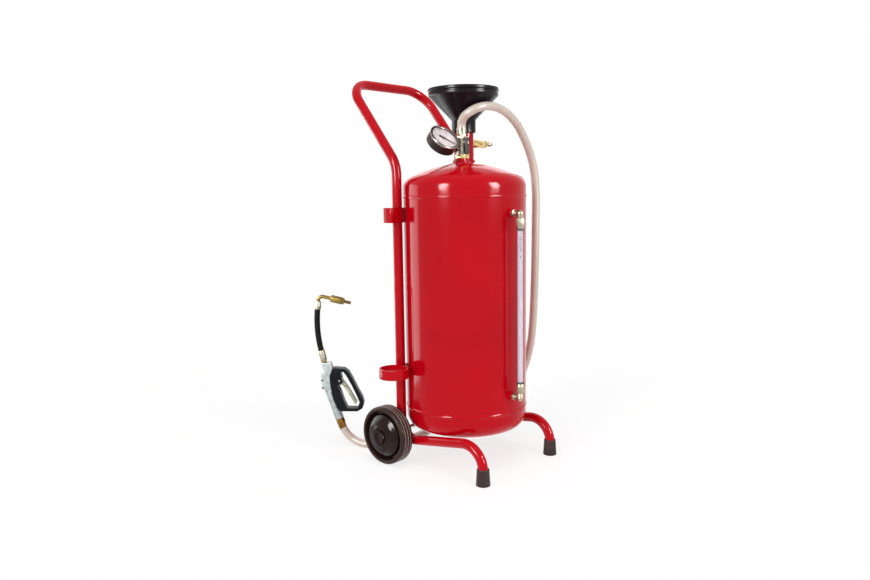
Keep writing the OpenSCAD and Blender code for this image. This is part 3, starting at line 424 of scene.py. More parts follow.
CASE = Moulded("gauge_case_brown_black", "2a1a17", "382622", 0.3, 0.42, 0.02, gloss=0.14)
NYLON = Moulded("pale_nylon", "e6dfcf", "d2c8b4", 0.4, 0.55, 0.02)
PTFE = Moulded("white_ptfe", "f2f1ee", "e4e2dc", 0.4, 0.5, 0.01)
DIAL = Moulded("dial_card", "dccfd1", "cdbcc2", 0.45, 0.55, 0.005)
INK = Moulded("dial_ink", "15100f", "221b1a", 0.5, 0.6, 0.002)
MARKS = Moulded("scale_marks", "2a0a10", "3a0d14", 0.5, 0.6, 0.002)
STEEL = Metal("zinc_steel", "c4c4c2", "9d9d9b", 0.2, 0.38, Surface.ROLLED)
BRASS = Metal("brass", "a65f1c", "703c11", 0.24, 0.36)
NOZZLE_BRASS = Metal("nozzle_brass", "87703e", "4f4120", 0.44, 0.56)
BEZEL = Metal("bronzed_bezel", "a39a94", "6d645f", 0.16, 0.28)
OLD_BRASS = Metal("dull_brass", "9c6a30", "523f19", 0.18, 0.3)
NICKEL = Metal("warm_nickel", "b0a794", "7a725f", 0.3, 0.42)
PALE_METAL = Metal("plated_ferrule", "a09f91", "6c6954", 0.44, 0.56)
CAST_ALU = Metal("cast_aluminium", "a5acac", "7f8684", 0.4, 0.54, Surface.CAST)
HOSE_SKIN = Braid("braided_hose")
GLASS = Clear("gauge_glass", "ffffff", 1.0, 0.14, 0.02)
SIGHT_PLASTIC = Clear("sight_tube_plastic", "efeaf6", 0.35, 1.0, 0.12)


# ------------------------------------------------------------------ making pieces

class Craft:
    """Tools that make one mesh at a time."""

    @staticmethod
    def nothing_selected() -> None:
        """Deselects all, so that an operator acts on its own piece alone."""
        for item in bpy.context.selected_objects:
            item.select_set(False)

    @staticmethod
    def take(piece: Piece) -> None:
        """Makes a piece the only selected and the active one."""
        Craft.nothing_selected()
        piece.select_set(True)
        bpy.context.view_layer.objects.active = piece

    @staticmethod
    @contextmanager
    def editing(piece: Piece, mode: str = "VERT") -> Iterator[None]:
        """Edit mode on a piece with all of it selected.

        Args:
            piece: The piece to edit.
            mode: The kind of element that is picked.

        Yields:
            Nothing; the piece is back in object mode afterwards.
        """
        Craft.take(piece)
        bpy.ops.object.mode_set(mode="EDIT")
        bpy.ops.mesh.select_mode(type=mode)
        bpy.ops.mesh.select_all(action="SELECT")
        try:
            yield
        finally:
            bpy.ops.object.mode_set(mode="OBJECT")

    @staticmethod
    def from_points(name: str, points: Sequence[Sequence[float]],
                    edges: Sequence[tuple[int, int]],
                    faces: Sequence[Sequence[int]] = ()) -> Piece:
        """A new piece from bare points.

        Args:
            name: The piece's name.
            points: Its corners.
            edges: Pairs of corners.
            faces: Rings of corners.

        Returns:
            The piece.
        """
        mesh = bpy.data.meshes.new(name)
        mesh.from_pydata([tuple(p) for p in points], list(edges), [list(f) for f in faces])
        piece = bpy.data.objects.new(name, mesh)
        bpy.context.scene.collection.objects.link(piece)
        return piece

    @staticmethod
    def printed(name: str, strips: Sequence[Sequence[Triple]], place: Matrix) -> Piece:
        """Flat marks, as if printed on a surface.

        Args:
            name: The piece's name.
            strips: For each mark its corners, in pairs from one edge to the other.
            place: The frame of the marks, in millimetres.

        Returns:
            The piece.
        """
        points, faces = [], []
        for strip in strips:
            n = len(points)
            points += strip
            faces += [(k, k + 2, k + 3, k + 1) for k in range(n, n + len(strip) - 2, 2)]
        return Craft.placed(Craft.from_points(name, points, [], faces), place)

    @staticmethod
    def placed(piece: Piece, place: Matrix) -> Piece:
        """Puts a mesh in millimetres where it belongs, with its object at the origin."""
        matrix = in_metres(place) @ piece.matrix_world
        piece.data.transform(matrix)
        if matrix.determinant() < 0:
            piece.data.flip_normals()
        piece.matrix_world = Matrix.Identity(4)
        piece.data.update()
        return piece

    @staticmethod
    def smooth(piece: Piece, angle: float = 32.0) -> Piece:
        """Shades a piece smooth, with edges sharper than the angle left sharp."""
        Craft.take(piece)
        bpy.ops.object.shade_smooth_by_angle(angle=math.radians(angle))
        return piece

    @staticmethod
    def modified(piece: Piece, kind: str, **settings: object) -> Piece:
        """Applies one modifier.

        Args:
            piece: The piece.
            kind: The modifier's type.
            **settings: The modifier's settings.

        Returns:
            The piece.
        """
        Craft.take(piece)
        modifier = piece.modifiers.new(kind, kind)
        for name, value in settings.items():
            setattr(modifier, name, value)
        bpy.ops.object.modifier_apply(modifier=modifier.name)
        return piece

    @staticmethod
    def bevelled(piece: Piece, width: float, steps: int = 2, angle: float = 32.0) -> Piece:
        """Rounds a piece's edges with an applied Bevel.

        Args:
            piece: A mesh in metres.
            width: The bevel's width in millimetres.
            steps: Segments of the bevel.
            angle: Edges sharper than this many degrees are rounded.

        Returns:
            The piece.
        """
        return Craft.modified(piece, "BEVEL", width=width * MM, segments=steps,
                              limit_method="ANGLE", angle_limit=math.radians(angle),
                              miter_outer="MITER_ARC", use_clamp_overlap=True)

    @staticmethod
    def spun(name: str, outline: Sequence[Pair], place: Matrix, steps: int = 96,
             smooth: float = 32.0) -> Piece:
        """Spins a closed outline of (radius, height) pairs round the Z of place.

        Args:
            name: The piece's name.
            outline: Corners in millimetres, in order; it closes by itself.
            place: The frame of the piece, in millimetres.
            steps: Steps of the spin.
            smooth: The angle for smooth shading.

        Returns:
            The piece.
        """
        points = [(r, 0.0, z) for r, z in outline]
        count = len(points)
        piece = Craft.from_points(name, points, [(i, (i + 1) % count) for i in range(count)])
        with Craft.editing(piece):
            bpy.ops.mesh.spin(steps=steps, angle=2 * math.pi, center=(0, 0, 0), axis=(0, 0, 1))
            bpy.ops.mesh.select_all(action="SELECT")
            bpy.ops.mesh.remove_doubles(threshold=0.0005)
            bpy.ops.mesh.dissolve_degenerate(threshold=0.0001)
            bpy.ops.mesh.select_all(action="SELECT")
            bpy.ops.mesh.normals_make_consistent(inside=False)
        return Craft.smooth(Craft.placed(piece, place), smooth)

    @staticmethod
    def softened(name: str, node: str, width: float, steps: int = 2, angle: float = 32.0) -> Piece:
        """A merged copy of a CAD node with its edges rounded.

        Args:
            name: The new piece's name.
            node: The CAD node.
            width: The rounding in millimetres.
            steps: Segments of the rounding.
            angle: Edges sharper than this many degrees are rounded.

        Returns:
            The piece, in the frame's metres.
        """
        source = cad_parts[node]
        piece = bpy.data.objects.new(name, source.data.copy())
        bpy.context.scene.collection.objects.link(piece)
        piece.hide_render = piece.hide_viewport = False
        piece.data.materials.clear()
        with Craft.editing(piece):
            bpy.ops.mesh.customdata_custom_splitnormals_clear()
            bpy.ops.mesh.remove_doubles(threshold=2e-6)
            bpy.ops.mesh.dissolve_limited(angle_limit=math.radians(0.6))
            bpy.ops.mesh.select_all(action="SELECT")
            bpy.ops.mesh.normals_make_consistent(inside=False)
        if width > 0:
            Craft.bevelled(piece, width, steps, angle)
        return Craft.smooth(piece, 36)

    @staticmethod
    def rounded_path(points: Sequence[Triple], radii: Sequence[float],
                     step: float = 4.0) -> list[Vector]:
        """The line of a bar that is bent at its inner points.

        Args:
            points: The corners.
            radii: One bend radius for each inner corner.
            step: Degrees between two points of a bend.

        Returns:
            The points of the line.
        """
        corners = [Vector(p) for p in points]
        line = [corners[0]]
        for i in range(1, len(corners) - 1):
            u = (corners[i] - corners[i - 1]).normalized()
            v = (corners[i + 1] - corners[i]).normalized()
            turn = u.angle(v)
            inward = (v - u * u.dot(v)).normalized()
            reach = radii[i - 1] * math.tan(turn / 2)
            centre = corners[i] - u * reach + inward * radii[i - 1]
            count = max(3, round(math.degrees(turn) / step))
            for k in range(count + 1):
                a = turn * k / count
                line.append(centre - inward * radii[i - 1] * math.cos(a)
                            + u * radii[i - 1] * math.sin(a))
        line.append(corners[-1])
        return line

    @staticmethod
    def swept(name: str, line: Sequence[Vector], radius: float | Sequence[float],
              place: Matrix = HERE, sides: int = 32,
              ends: bool = True) -> Piece:
        """Sweeps a round section along a line, with a UV map of turns and metres.

        Args:
            name: The piece's name.
            line: The centreline, in millimetres in the frame of place.
            radius: The section's radius, or one for each point.
            place: The frame of the line, in millimetres.
            sides: Sides of the section.
            ends: Whether the ends are closed.

        Returns:
            The piece.
        """
        last = len(line) - 1
        radii = [radius] * (last + 1) if isinstance(radius, (int, float)) else list(radius)
        heads = [(line[min(i + 1, last)] - line[max(i - 1, 0)]).normalized()
                 for i in range(last + 1)]
        side = heads[0].orthogonal().normalized()
        points, reach = [], [0.0]
        for i in range(last + 1):
            side = (side - heads[i] * side.dot(heads[i])).normalized()
            other = heads[i].cross(side)
            for k in range(sides):
                a = 2 * math.pi * k / sides
                points.append(line[i] + radii[i] * (side * math.cos(a) + other * math.sin(a)))
            if i:
                reach.append(reach[-1] + (line[i] - line[i - 1]).length)
        faces, uvs = [], []
        for i in range(last):
            for k in range(sides):
                a, b = i * sides + k, i * sides + (k + 1) % sides
                faces.append([a, b, b + sides, a + sides])
                for turn, at in ((k, i), (k + 1, i), (k + 1, i + 1), (k, i + 1)):
                    uvs.append((turn / sides, reach[at] * MM))
        if ends:
            for row, back in ((0, True), (last, False)):
                ring = [row * sides + k for k in range(sides)]
                faces.append(ring[::-1] if back else ring)
                uvs.extend([(0.5, reach[row] * MM)] * sides)
        piece = Craft.from_points(name, points, [], faces)
        layer = piece.data.uv_layers.new(name="UVMap")
        for i, uv in enumerate(uvs):
            layer.data[i].uv = uv
        return Craft.smooth(Craft.placed(piece, place), 50)

    @staticmethod
    def prism(name: str, sides: int, corner_r: float, height: float, place: Matrix,
              edge: float = 0.4, hole: float = 0.0) -> Piece:
        """A nut or hexagon made from a primitive, chamfered at its ends.

        Args:
            name: The piece's name.
            sides: Sides of the prism.
            corner_r: Radius over its corners.
            height: Its height along the Z of place.
            place: The frame of its lower end.
            edge: Width of the chamfer.
            hole: Radius of the recess in its top, or 0.

        Returns:
            The piece.
        """
        Craft.nothing_selected()
        bpy.ops.mesh.primitive_cylinder_add(vertices=sides, radius=corner_r, depth=height,
                                            location=(0, 0, height / 2))
        piece = bpy.context.active_object
        piece.name = piece.data.name = name
        piece.data.transform(piece.matrix_world)
        piece.matrix_world = Matrix.Identity(4)
        if hole:
            with Craft.editing(piece, "FACE"):
                bpy.ops.mesh.select_all(action="DESELECT")
                bpy.ops.object.mode_set(mode="OBJECT")
                for face in piece.data.polygons:
                    face.select = face.normal.z > 0.9
                bpy.ops.object.mode_set(mode="EDIT")
                bpy.ops.mesh.inset(thickness=corner_r - hole, depth=0)
                bpy.ops.mesh.inset(thickness=0.2, depth=-min(2.0, height / 3))
        Craft.placed(piece, place)
        return Craft.smooth(Craft.bevelled(piece, edge, 2))

    @staticmethod
    def block(size: Triple, edge: float, middle: Triple = (0, 0, 0)) -> Piece:
        """A box made from a primitive, with rounded edges.

        Args:
            size: Its size in millimetres.
            edge: Width of the rounding.
            middle: The box's middle.

        Returns:
            The piece, still in millimetres.
        """
        Craft.nothing_selected()
        bpy.ops.mesh.primitive_cube_add(size=1)
        piece = bpy.context.active_object
        piece.data.transform(moved(*middle) @ Matrix.Diagonal((*size, 1)))
        with Craft.editing(piece, "EDGE"):
            bpy.ops.mesh.bevel(offset=edge, segments=2, affect="EDGES")
        return piece

    @staticmethod
    def joined(name: str, parts: Sequence[Piece]) -> Piece:
        """Joins pieces into the first of them and names it."""
        Craft.nothing_selected()
        for part in parts:
            part.select_set(True)
        bpy.context.view_layer.objects.active = parts[0]
        bpy.ops.object.join()
        parts[0].name = parts[0].data.name = name
        return parts[0]

    @staticmethod
    def dressed(piece: Piece, finish: Finish, nodes: Sequence[str] = (),
                slot: str | None = None, body: str = "trolley") -> Piece:
        """Gives a piece its finish, its body and the CAD nodes that it stands for.

        Args:
            piece: The finished mesh.
            finish: Its finish.
            nodes: The CAD nodes that it replaces.
            slot: The record's material slot. Not used.
            body: The CAD body that it rides on.

        Returns:
            The piece.
        """
        piece.data.materials.clear()
        piece.data.materials.append(finish.material())
        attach(piece, body)
        if nodes:
            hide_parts(*nodes)
        log.info("%s: %d faces", piece.name, len(piece.data.polygons))
        return piece

    @staticmethod
    def refined(name: str, node: str, width: float, finish: Finish, slot: str,
                body: str = "trolley", steps: int = 2) -> None:
        """Rounds a copy of one CAD node, dresses it and lets it stand for that node.

        Args:
            name: The new piece's name.
            node: The CAD node.
            width: The rounding in millimetres.
            finish: The piece's finish.
            slot: The record's material slot.
            body: The CAD body that it rides on.
            steps: Segments of the rounding.
        """
        Craft.dressed(Craft.softened(name, node, width, steps), finish, [node], slot, body)

    @staticmethod
    def kept(node: str, finish: Finish) -> None:
        """Leaves a CAD node as it is, in a better material."""
        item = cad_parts[node]
        if not item.material_slots:
            item.data.materials.append(finish.material())
        for slot in item.material_slots:
            slot.link = "OBJECT"
            slot.material = finish.material()
        log.info("%s: kept", node)


# ------------------------------------------------------------------ studio

# What the lamps point at, in metres
LAMP_AIM = (0.0, 0.0, 0.4)


def sheet(name: str, size: float) -> Piece:
    """A flat square grid at the origin, in metres."""
    Craft.nothing_selected()
    bpy.ops.mesh.primitive_grid_add(x_subdivisions=2, y_subdivisions=2, size=size)
    piece = bpy.context.active_object
    piece.name = name
    return piece


@dataclass
class Softlight:
    """A soft, even lamp far from the object, which gloss doesn't show."""

    name: str
    place: Triple
    strength: float
    spread: float

    def put(self) -> None:
        """Puts the lamp at its place, in metres, turned to the object."""
        lamp = bpy.data.lights.new(self.name, "SUN")
        lamp.energy = self.strength
        lamp.angle = math.radians(self.spread)
        item = bpy.data.objects.new(self.name, lamp)
        bpy.context.scene.collection.objects.link(item)
        item.visible_camera = item.visible_glossy = False
        item.matrix_world = aimed(self.place, LAMP_AIM)


@dataclass
class Card:
    """A lit card that only gloss shows, as a window-like highlight."""

    name: str
    place: Triple
    aim: Triple
    size: Pair
    glow: float

    def put(self) -> None:
        """Puts the card in the scene, in metres, hidden from camera, diffuse, shadow and
        transmission rays.
        """
        card = sheet(self.name, 1.0)
        card.data.transform(Matrix.Diagonal((*self.size, 1, 1)))
        card.matrix_world = aimed(self.place, self.aim)
        material = bpy.data.materials.new(self.name)
        graph = Graph(material)
        glow = graph.node("Emission", Strength=self.glow)
        graph.link(glow.outputs[0], graph.node("OutputMaterial").inputs[0])
        card.data.materials.append(material)
        card.visible_camera = card.visible_diffuse = card.visible_shadow = False
        card.visible_transmission = False


@dataclass
class Studio:
    """Camera, pale floor, white surround, lamps and cards."""

    eye: Triple = (-1.16907, -1.05371, 0.55125)
    azimuth: float = -47.636
    pitch: float = 7.402
    roll: float = -0.863
    focal_px: float = 745.28
    centre_px: Pair = (436.845, 291.148)
    frame_px: Pair = (870.0, 580.0)
    sensor_mm: float = 36.0
    far_clip: float = 50.0
    surround: float = 0.4
    floor_size: float = 16.0
    floor_tone: float = 0.92
    floor_glow: float = 1.07
    floor_seen: float = 0.72
    lamps: list[Softlight] = field(default_factory=lambda: [
        Softlight("left_light", (-2.35, -0.22, 1.5), 0.85, 30),
        Softlight("right_light", (0.42, -2.45, 1.5), 0.64, 30),
        Softlight("top_light", (-0.5, -0.4, 2.6), 1.0, 40),
    ])
    cards: list[Card] = field(default_factory=lambda: [
        Card("left_window", (-2.45, -0.16, 1.2), (-0.11, -0.11, 0.563), (0.7, 1.14), 60),
        Card("right_window", (0.31, -2.43, 1.2), (-0.04, -0.18, 0.563), (0.66, 1.14), 60),
        Card("left_stripe", (-0.22, 0.61, 0.37), (-0.114, -0.02, 0.37), (0.6, 0.73), 5.2),
        Card("right_stripe", (0.34, -0.78, 0.24), (-0.02, -0.19, 0.24), (0.09, 0.46), 2.6),
        Card("back_glow", (0.96, 0.81, 1.14), (0, -0.06, 0.6), (1.6, 0.75), 2.6),
        Card("floor_glow", (-0.09, -0.14, 0.003), (-0.09, -0.14, 1.0), (0.36, 0.36), 1.7),
    ])

    def put_camera(self) -> None:
        """Makes the camera from its place, its turns and its focal length in pixels."""
        az, pitch, roll = (math.radians(a) for a in (self.azimuth, self.pitch, self.roll))
        ahead = Vector((-math.sin(az) * math.cos(pitch), math.cos(az) * math.cos(pitch),
                        -math.sin(pitch)))
        level = Vector((math.cos(az), math.sin(az), 0))
        above = level.cross(ahead)
        right = level * math.cos(roll) + above * math.sin(roll)
        up = above * math.cos(roll) - level * math.sin(roll)
        data = bpy.data.cameras.new("camera")
        width, height = self.frame_px
        data.sensor_width = self.sensor_mm
        data.lens = self.focal_px / width * self.sensor_mm
        data.shift_x = (width / 2 - self.centre_px[0]) / width
        data.shift_y = (self.centre_px[1] - height / 2) / width
        data.clip_end = self.far_clip
        camera = bpy.data.objects.new("camera", data)
        bpy.context.scene.collection.objects.link(camera)
        turn = Matrix((right, up, -ahead)).transposed().to_4x4()
        camera.matrix_world = Matrix.Translation(Vector(self.eye)) @ turn
        bpy.context.scene.camera = camera

    @staticmethod
    def seen_rays(graph: Graph, camera_share: float) -> Socket:
        """A value that is 1 for rays of gloss and glass and a share for the camera's.

        Args:
            graph: The graph that the value is used in.
            camera_share: The value for the camera's rays.

        Returns:
            The value's socket.
        """
        path = graph.node("LightPath")
        seen = graph.math("MULTIPLY", path.outputs["Is Camera Ray"], camera_share)
        for name in ("Is Glossy Ray", "Is Transmission Ray"):
            seen = graph.math("MAXIMUM", seen, path.outputs[name])
        return seen

    def put_floor(self) -> None:
        """Lays the pale floor, which keeps the object's shadow."""
        floor = sheet("floor", self.floor_size)
        material = bpy.data.materials.new("pale_floor")
        graph = Graph(material)
        matt = graph.node("BsdfDiffuse", Color=(*[self.floor_tone] * 3, 1))
        glow = graph.node("Emission", Strength=self.floor_glow)
        mix = graph.node("MixShader")
        for source, target in zip((self.seen_rays(graph, self.floor_seen), matt.outputs[0],
                                   glow.outputs[0]), mix.inputs):
            graph.link(source, target)
        graph.link(mix.outputs[0], graph.node("OutputMaterial").inputs[0])
        floor.data.materials.append(material)

    def put_world(self) -> None:
        """Gives the white surround and its plain light."""
        world = bpy.data.worlds.new("surround")
        bpy.context.scene.world = world
        graph = Graph(world)
        sky = graph.node("Background", Color=(1, 1, 1, 1))
        seen = self.seen_rays(graph, 1.0)
        graph.link(graph.ramp(seen, 0, 1, self.surround, 1.0), sky.inputs["Strength"])
        graph.link(sky.outputs[0], graph.node("OutputWorld").inputs[0])

    def build(self) -> None:
        """Puts the camera, floor, surround, lamps and cards."""
        self.put_camera()
        self.put_floor()
        self.put_world()
        for light in (*self.lamps, *self.cards):
            light.put()
        bpy.context.scene.view_settings.view_transform = "Standard"


# ------------------------------------------------------------------ hose

@dataclass
class SupplyHose:
    """The braided hose from the outlet valve, down to the floor and up to the gun."""

    width: float = 17.0
    step: float = 3.0
    route: tuple[Triple, ...] = (
        (-30, -20, 681), (-31, -21.5, 691), (-34, -30, 701), (-34, -42, 708), (-26, -52, 715),
        (-11, -59, 720), (11, -61, 722), (36, -61, 720), (59, -61, 714), (80, -61, 704),
        (101, -61, 689), (122, -61, 666), (144, -60, 637), (158, -60, 606), (166, -60, 568),
        (168, -60, 530), (167, -60, 482), (166, -60, 428), (167, -58, 374), (170, -54, 320),
        (172, -50, 272), (172, -45, 226), (171, -36, 187), (170, -24, 154), (170, -4, 115),
        (173, 26, 75), (175, 60, 40), (175, 96, 17), (170, 129, 9), (154, 153, 8.7),
        (128, 164, 8.7), (98, 164, 8.7), (66, 158, 8.7), (34, 151, 8.7), (2, 147, 8.7),
        (-30, 149, 8.7), (-60, 156, 8.7), (-90, 170, 8.7), (-110, 189, 9), (-118, 209, 11),
        (-123, 225, 17), (-130, 235, 28), (-137, 242, 44),
    )

    def line(self) -> list[Vector]:
        """The smooth centreline through the route's points, in millimetres."""
        knots = [Vector(p) for p in self.route]
        last = len(knots) - 1
        line: list[Vector] = []
        for i in range(last):
            a, b, c, d = (knots[max(i - 1, 0)], knots[i], knots[i + 1], knots[min(i + 2, last)])
            count = max(2, round((c - b).length / self.step))
            for k in range(count):
                t = k / count
                line.append(0.5 * (2 * b + (c - a) * t + (2 * a - 5 * b + 4 * c - d) * t * t
                                   + (3 * b - a - 3 * c + d) * t ** 3))
        line.append(knots[-1])
        return line

    def build(self) -> None:
        line = self.line()
        piece = Craft.swept("supply_hose", line, self.width / 2, sides=24)
        Craft.dressed(piece, HOSE_SKIN, ["hose"], "braided_hose")


# ------------------------------------------------------------------ tank

@dataclass
class Tank:
    """The pressure tank: shell, dished heads, seams, lugs and dark ticks beside the sight tube."""

    radius: float = 125.0
    wall: float = 2.0
    seam_low: float = 116.0
    seam_top: float = 546.0
    flange: float = 18.0
    crown_r: float = 240.0
    knuckle_r: float = 28.0
    crown_steps: int = 22
    knuckle_steps: int = 14
    bead: float = 1.2
    steps: int = 192
    hole_r: float = 20.0
    weld_steps: int = 96
    bead_curve: float = 5.5
    bead_points: int = 9
    ripple: tuple[Pair, ...] = ((0.05, 160), (0.03, 37))
    back_from: float = 119.0
    back_step: float = 4.0
    back_points: int = 107
    tick_step: float = 5.2
    tick_from: float = 190.0
    tick_count: int = 53
    tick_at: float = -85.6
    tick_spans: Pair = (5.8, 4.8)
    tick_half: float = 0.55
    neck: Pair = (-30.0, -20.0)
    neck_r: float = 15.8
    neck_bead: float = 1.3

    @property
    def rise(self) -> float:
        """Height of a head's base line above the middle of its crown's sphere."""
        return math.sqrt((self.crown_r - self.knuckle_r) ** 2
                         - (self.radius - self.knuckle_r) ** 2)

    def dish(self, inset: float, hole: float) -> list[Pair]:
        """Half outline of a dished head from its hole or pole to its flange's foot.

        Args:
            inset: How far the outline lies inside the outer one.
            hole: Radius of the hole at the pole.

        Returns:
            The outline, above the head's own base line.
        """
        crown = self.crown_r - inset
        edge = math.asin((self.radius - self.knuckle_r) / (self.crown_r - self.knuckle_r))
        first = math.asin(hole / crown) if hole else 0.0
        points = [(crown * math.sin(a), crown * math.cos(a) - self.rise)
                  for a in (first + (edge - first) * k / self.crown_steps
                            for k in range(self.crown_steps + 1))]
        small = self.knuckle_r - inset
        points += [(self.radius - self.knuckle_r + small * math.sin(a), small * math.cos(a))
                   for a in (edge + (math.pi / 2 - edge) * k / self.knuckle_steps
                             for k in range(1, self.knuckle_steps + 1))]
        points.append((self.radius - inset, -self.flange))
        return points

    def head(self, name: str, base: float, up: bool) -> Piece:
        """One dished head of sheet.

        Args:
            name: The piece's name.
            base: Height of its base line.
            up: Whether it is the upper head.

        Returns:
            The piece.
        """
        hole = self.hole_r if up else 0.0
        outline = self.dish(0, hole) + self.dish(self.wall, hole)[::-1]
        place = moved(0, 0, base)
        if not up:
            place = place @ turned(180, "X")
        return Craft.spun(name, outline, place, self.steps, 40)

    def seam(self, name: str, height: float) -> Piece:
        """One weld bead that runs round the tank, with its fine ripple."""
        reach, inner, count = self.bead, self.bead_curve, self.bead_points
        half = math.acos((inner - reach) / inner)
        outline = []
        for k in range(count):
            a = -half + 2 * half * k / (count - 1)
            outline.append((self.radius + reach - inner + inner * math.cos(a),
                            inner * math.sin(a)))
        outline.append((self.radius - 0.4, 0.0))
        piece = Craft.spun(name, outline, moved(0, 0, height), 480, 60)
        centre = spot(0, 0, height)
        for vertex in piece.data.vertices:
            out = Vector((vertex.co.x - centre.x, vertex.co.y - centre.y, 0))
            if out.length > (self.radius + 0.3) * MM:
                angle = math.atan2(out.y, out.x)
                swell = -0.04
                for height, waves in self.ripple:
                    swell += height * math.sin(waves * angle)
                vertex.co += out.normalized() * swell * MM
        piece.data.update()
        return piece

    def back_weld(self) -> Piece:
        """The shell's own straight weld, at the back."""
        steps = range(self.back_points)
        line = [Vector((0, 0, self.back_from + self.back_step * k)) for k in steps]
        widths = [1.5 + 0.12 * math.sin(2.4 * k) for k in steps]
        place = turned(96, "Z") @ moved(self.radius - 0.75, 0, 0)
        return Craft.swept("shell_weld", line, widths, place, 12)

    def neck_weld(self) -> Piece:
        """The weld that runs round the outlet neck where it stands on the upper head."""
        line, widths = [], []
        top = self.seam_top + self.flange
        for k in range(self.weld_steps + 1):
            a = 2 * math.pi * k / self.weld_steps
            x = self.neck[0] + self.neck_r * math.cos(a)
            y = self.neck[1] + self.neck_r * math.sin(a)
            z = top - self.rise + math.sqrt(self.crown_r ** 2 - x * x - y * y)
            line.append(Vector((x, y, z + 0.2)))
            widths.append(self.neck_bead + 0.16 * math.sin(19 * a))
        return Craft.swept("neck_weld", line, widths, HERE, 12, False)

    def scale(self) -> Piece:
        """Dark tick marks on the shell beside the sight tube."""
        strips = []
        r = self.radius + 0.06
        for i in range(self.tick_count):
            z = self.tick_from + i * self.tick_step
            angles = [math.radians(self.tick_at - (1 - share) * self.tick_spans[i % 2])
                      for share in (0.0, 0.5, 1.0)]
            strips.append([(r * math.cos(a), r * math.sin(a), z + dz) for a in angles
                           for dz in (-self.tick_half, self.tick_half)])
        return Craft.printed("shell_ticks", strips, HERE)

    def build(self) -> None:
        """Builds and dresses the tank."""
        r, w = self.radius, self.wall
        shell = Craft.spun("shell", [(r, self.seam_low), (r, self.seam_top),
                                     (r - w, self.seam_top), (r - w, self.seam_low)],
                           HERE, self.steps)
        Craft.dressed(shell, RED, ["tank_shell"], "red_paint")
        top, low = self.seam_top + self.flange, self.seam_low - self.flange
        Craft.dressed(self.head("upper_dish", top, True), RED, ["top_head"], "red_paint")
        Craft.dressed(self.head("lower_dish", low, False), RED, ["bottom_head"], "red_paint")
        beads = Craft.joined("seam_welds", [self.seam("low", self.seam_low),
                                            self.seam("top", self.seam_top)])
        Craft.dressed(beads, RED_WELD, ["seam_beads"], "red_paint")
        Craft.dressed(self.back_weld(), RED_WELD, (), "red_paint")
        Craft.refined("post_lugs", "tank_lugs", 0.5, RED, "red_paint")
        Craft.dressed(self.neck_weld(), RED_WELD, (), "red_paint")
        Craft.dressed(self.scale(), MARKS)


# ------------------------------------------------------------------ trolley

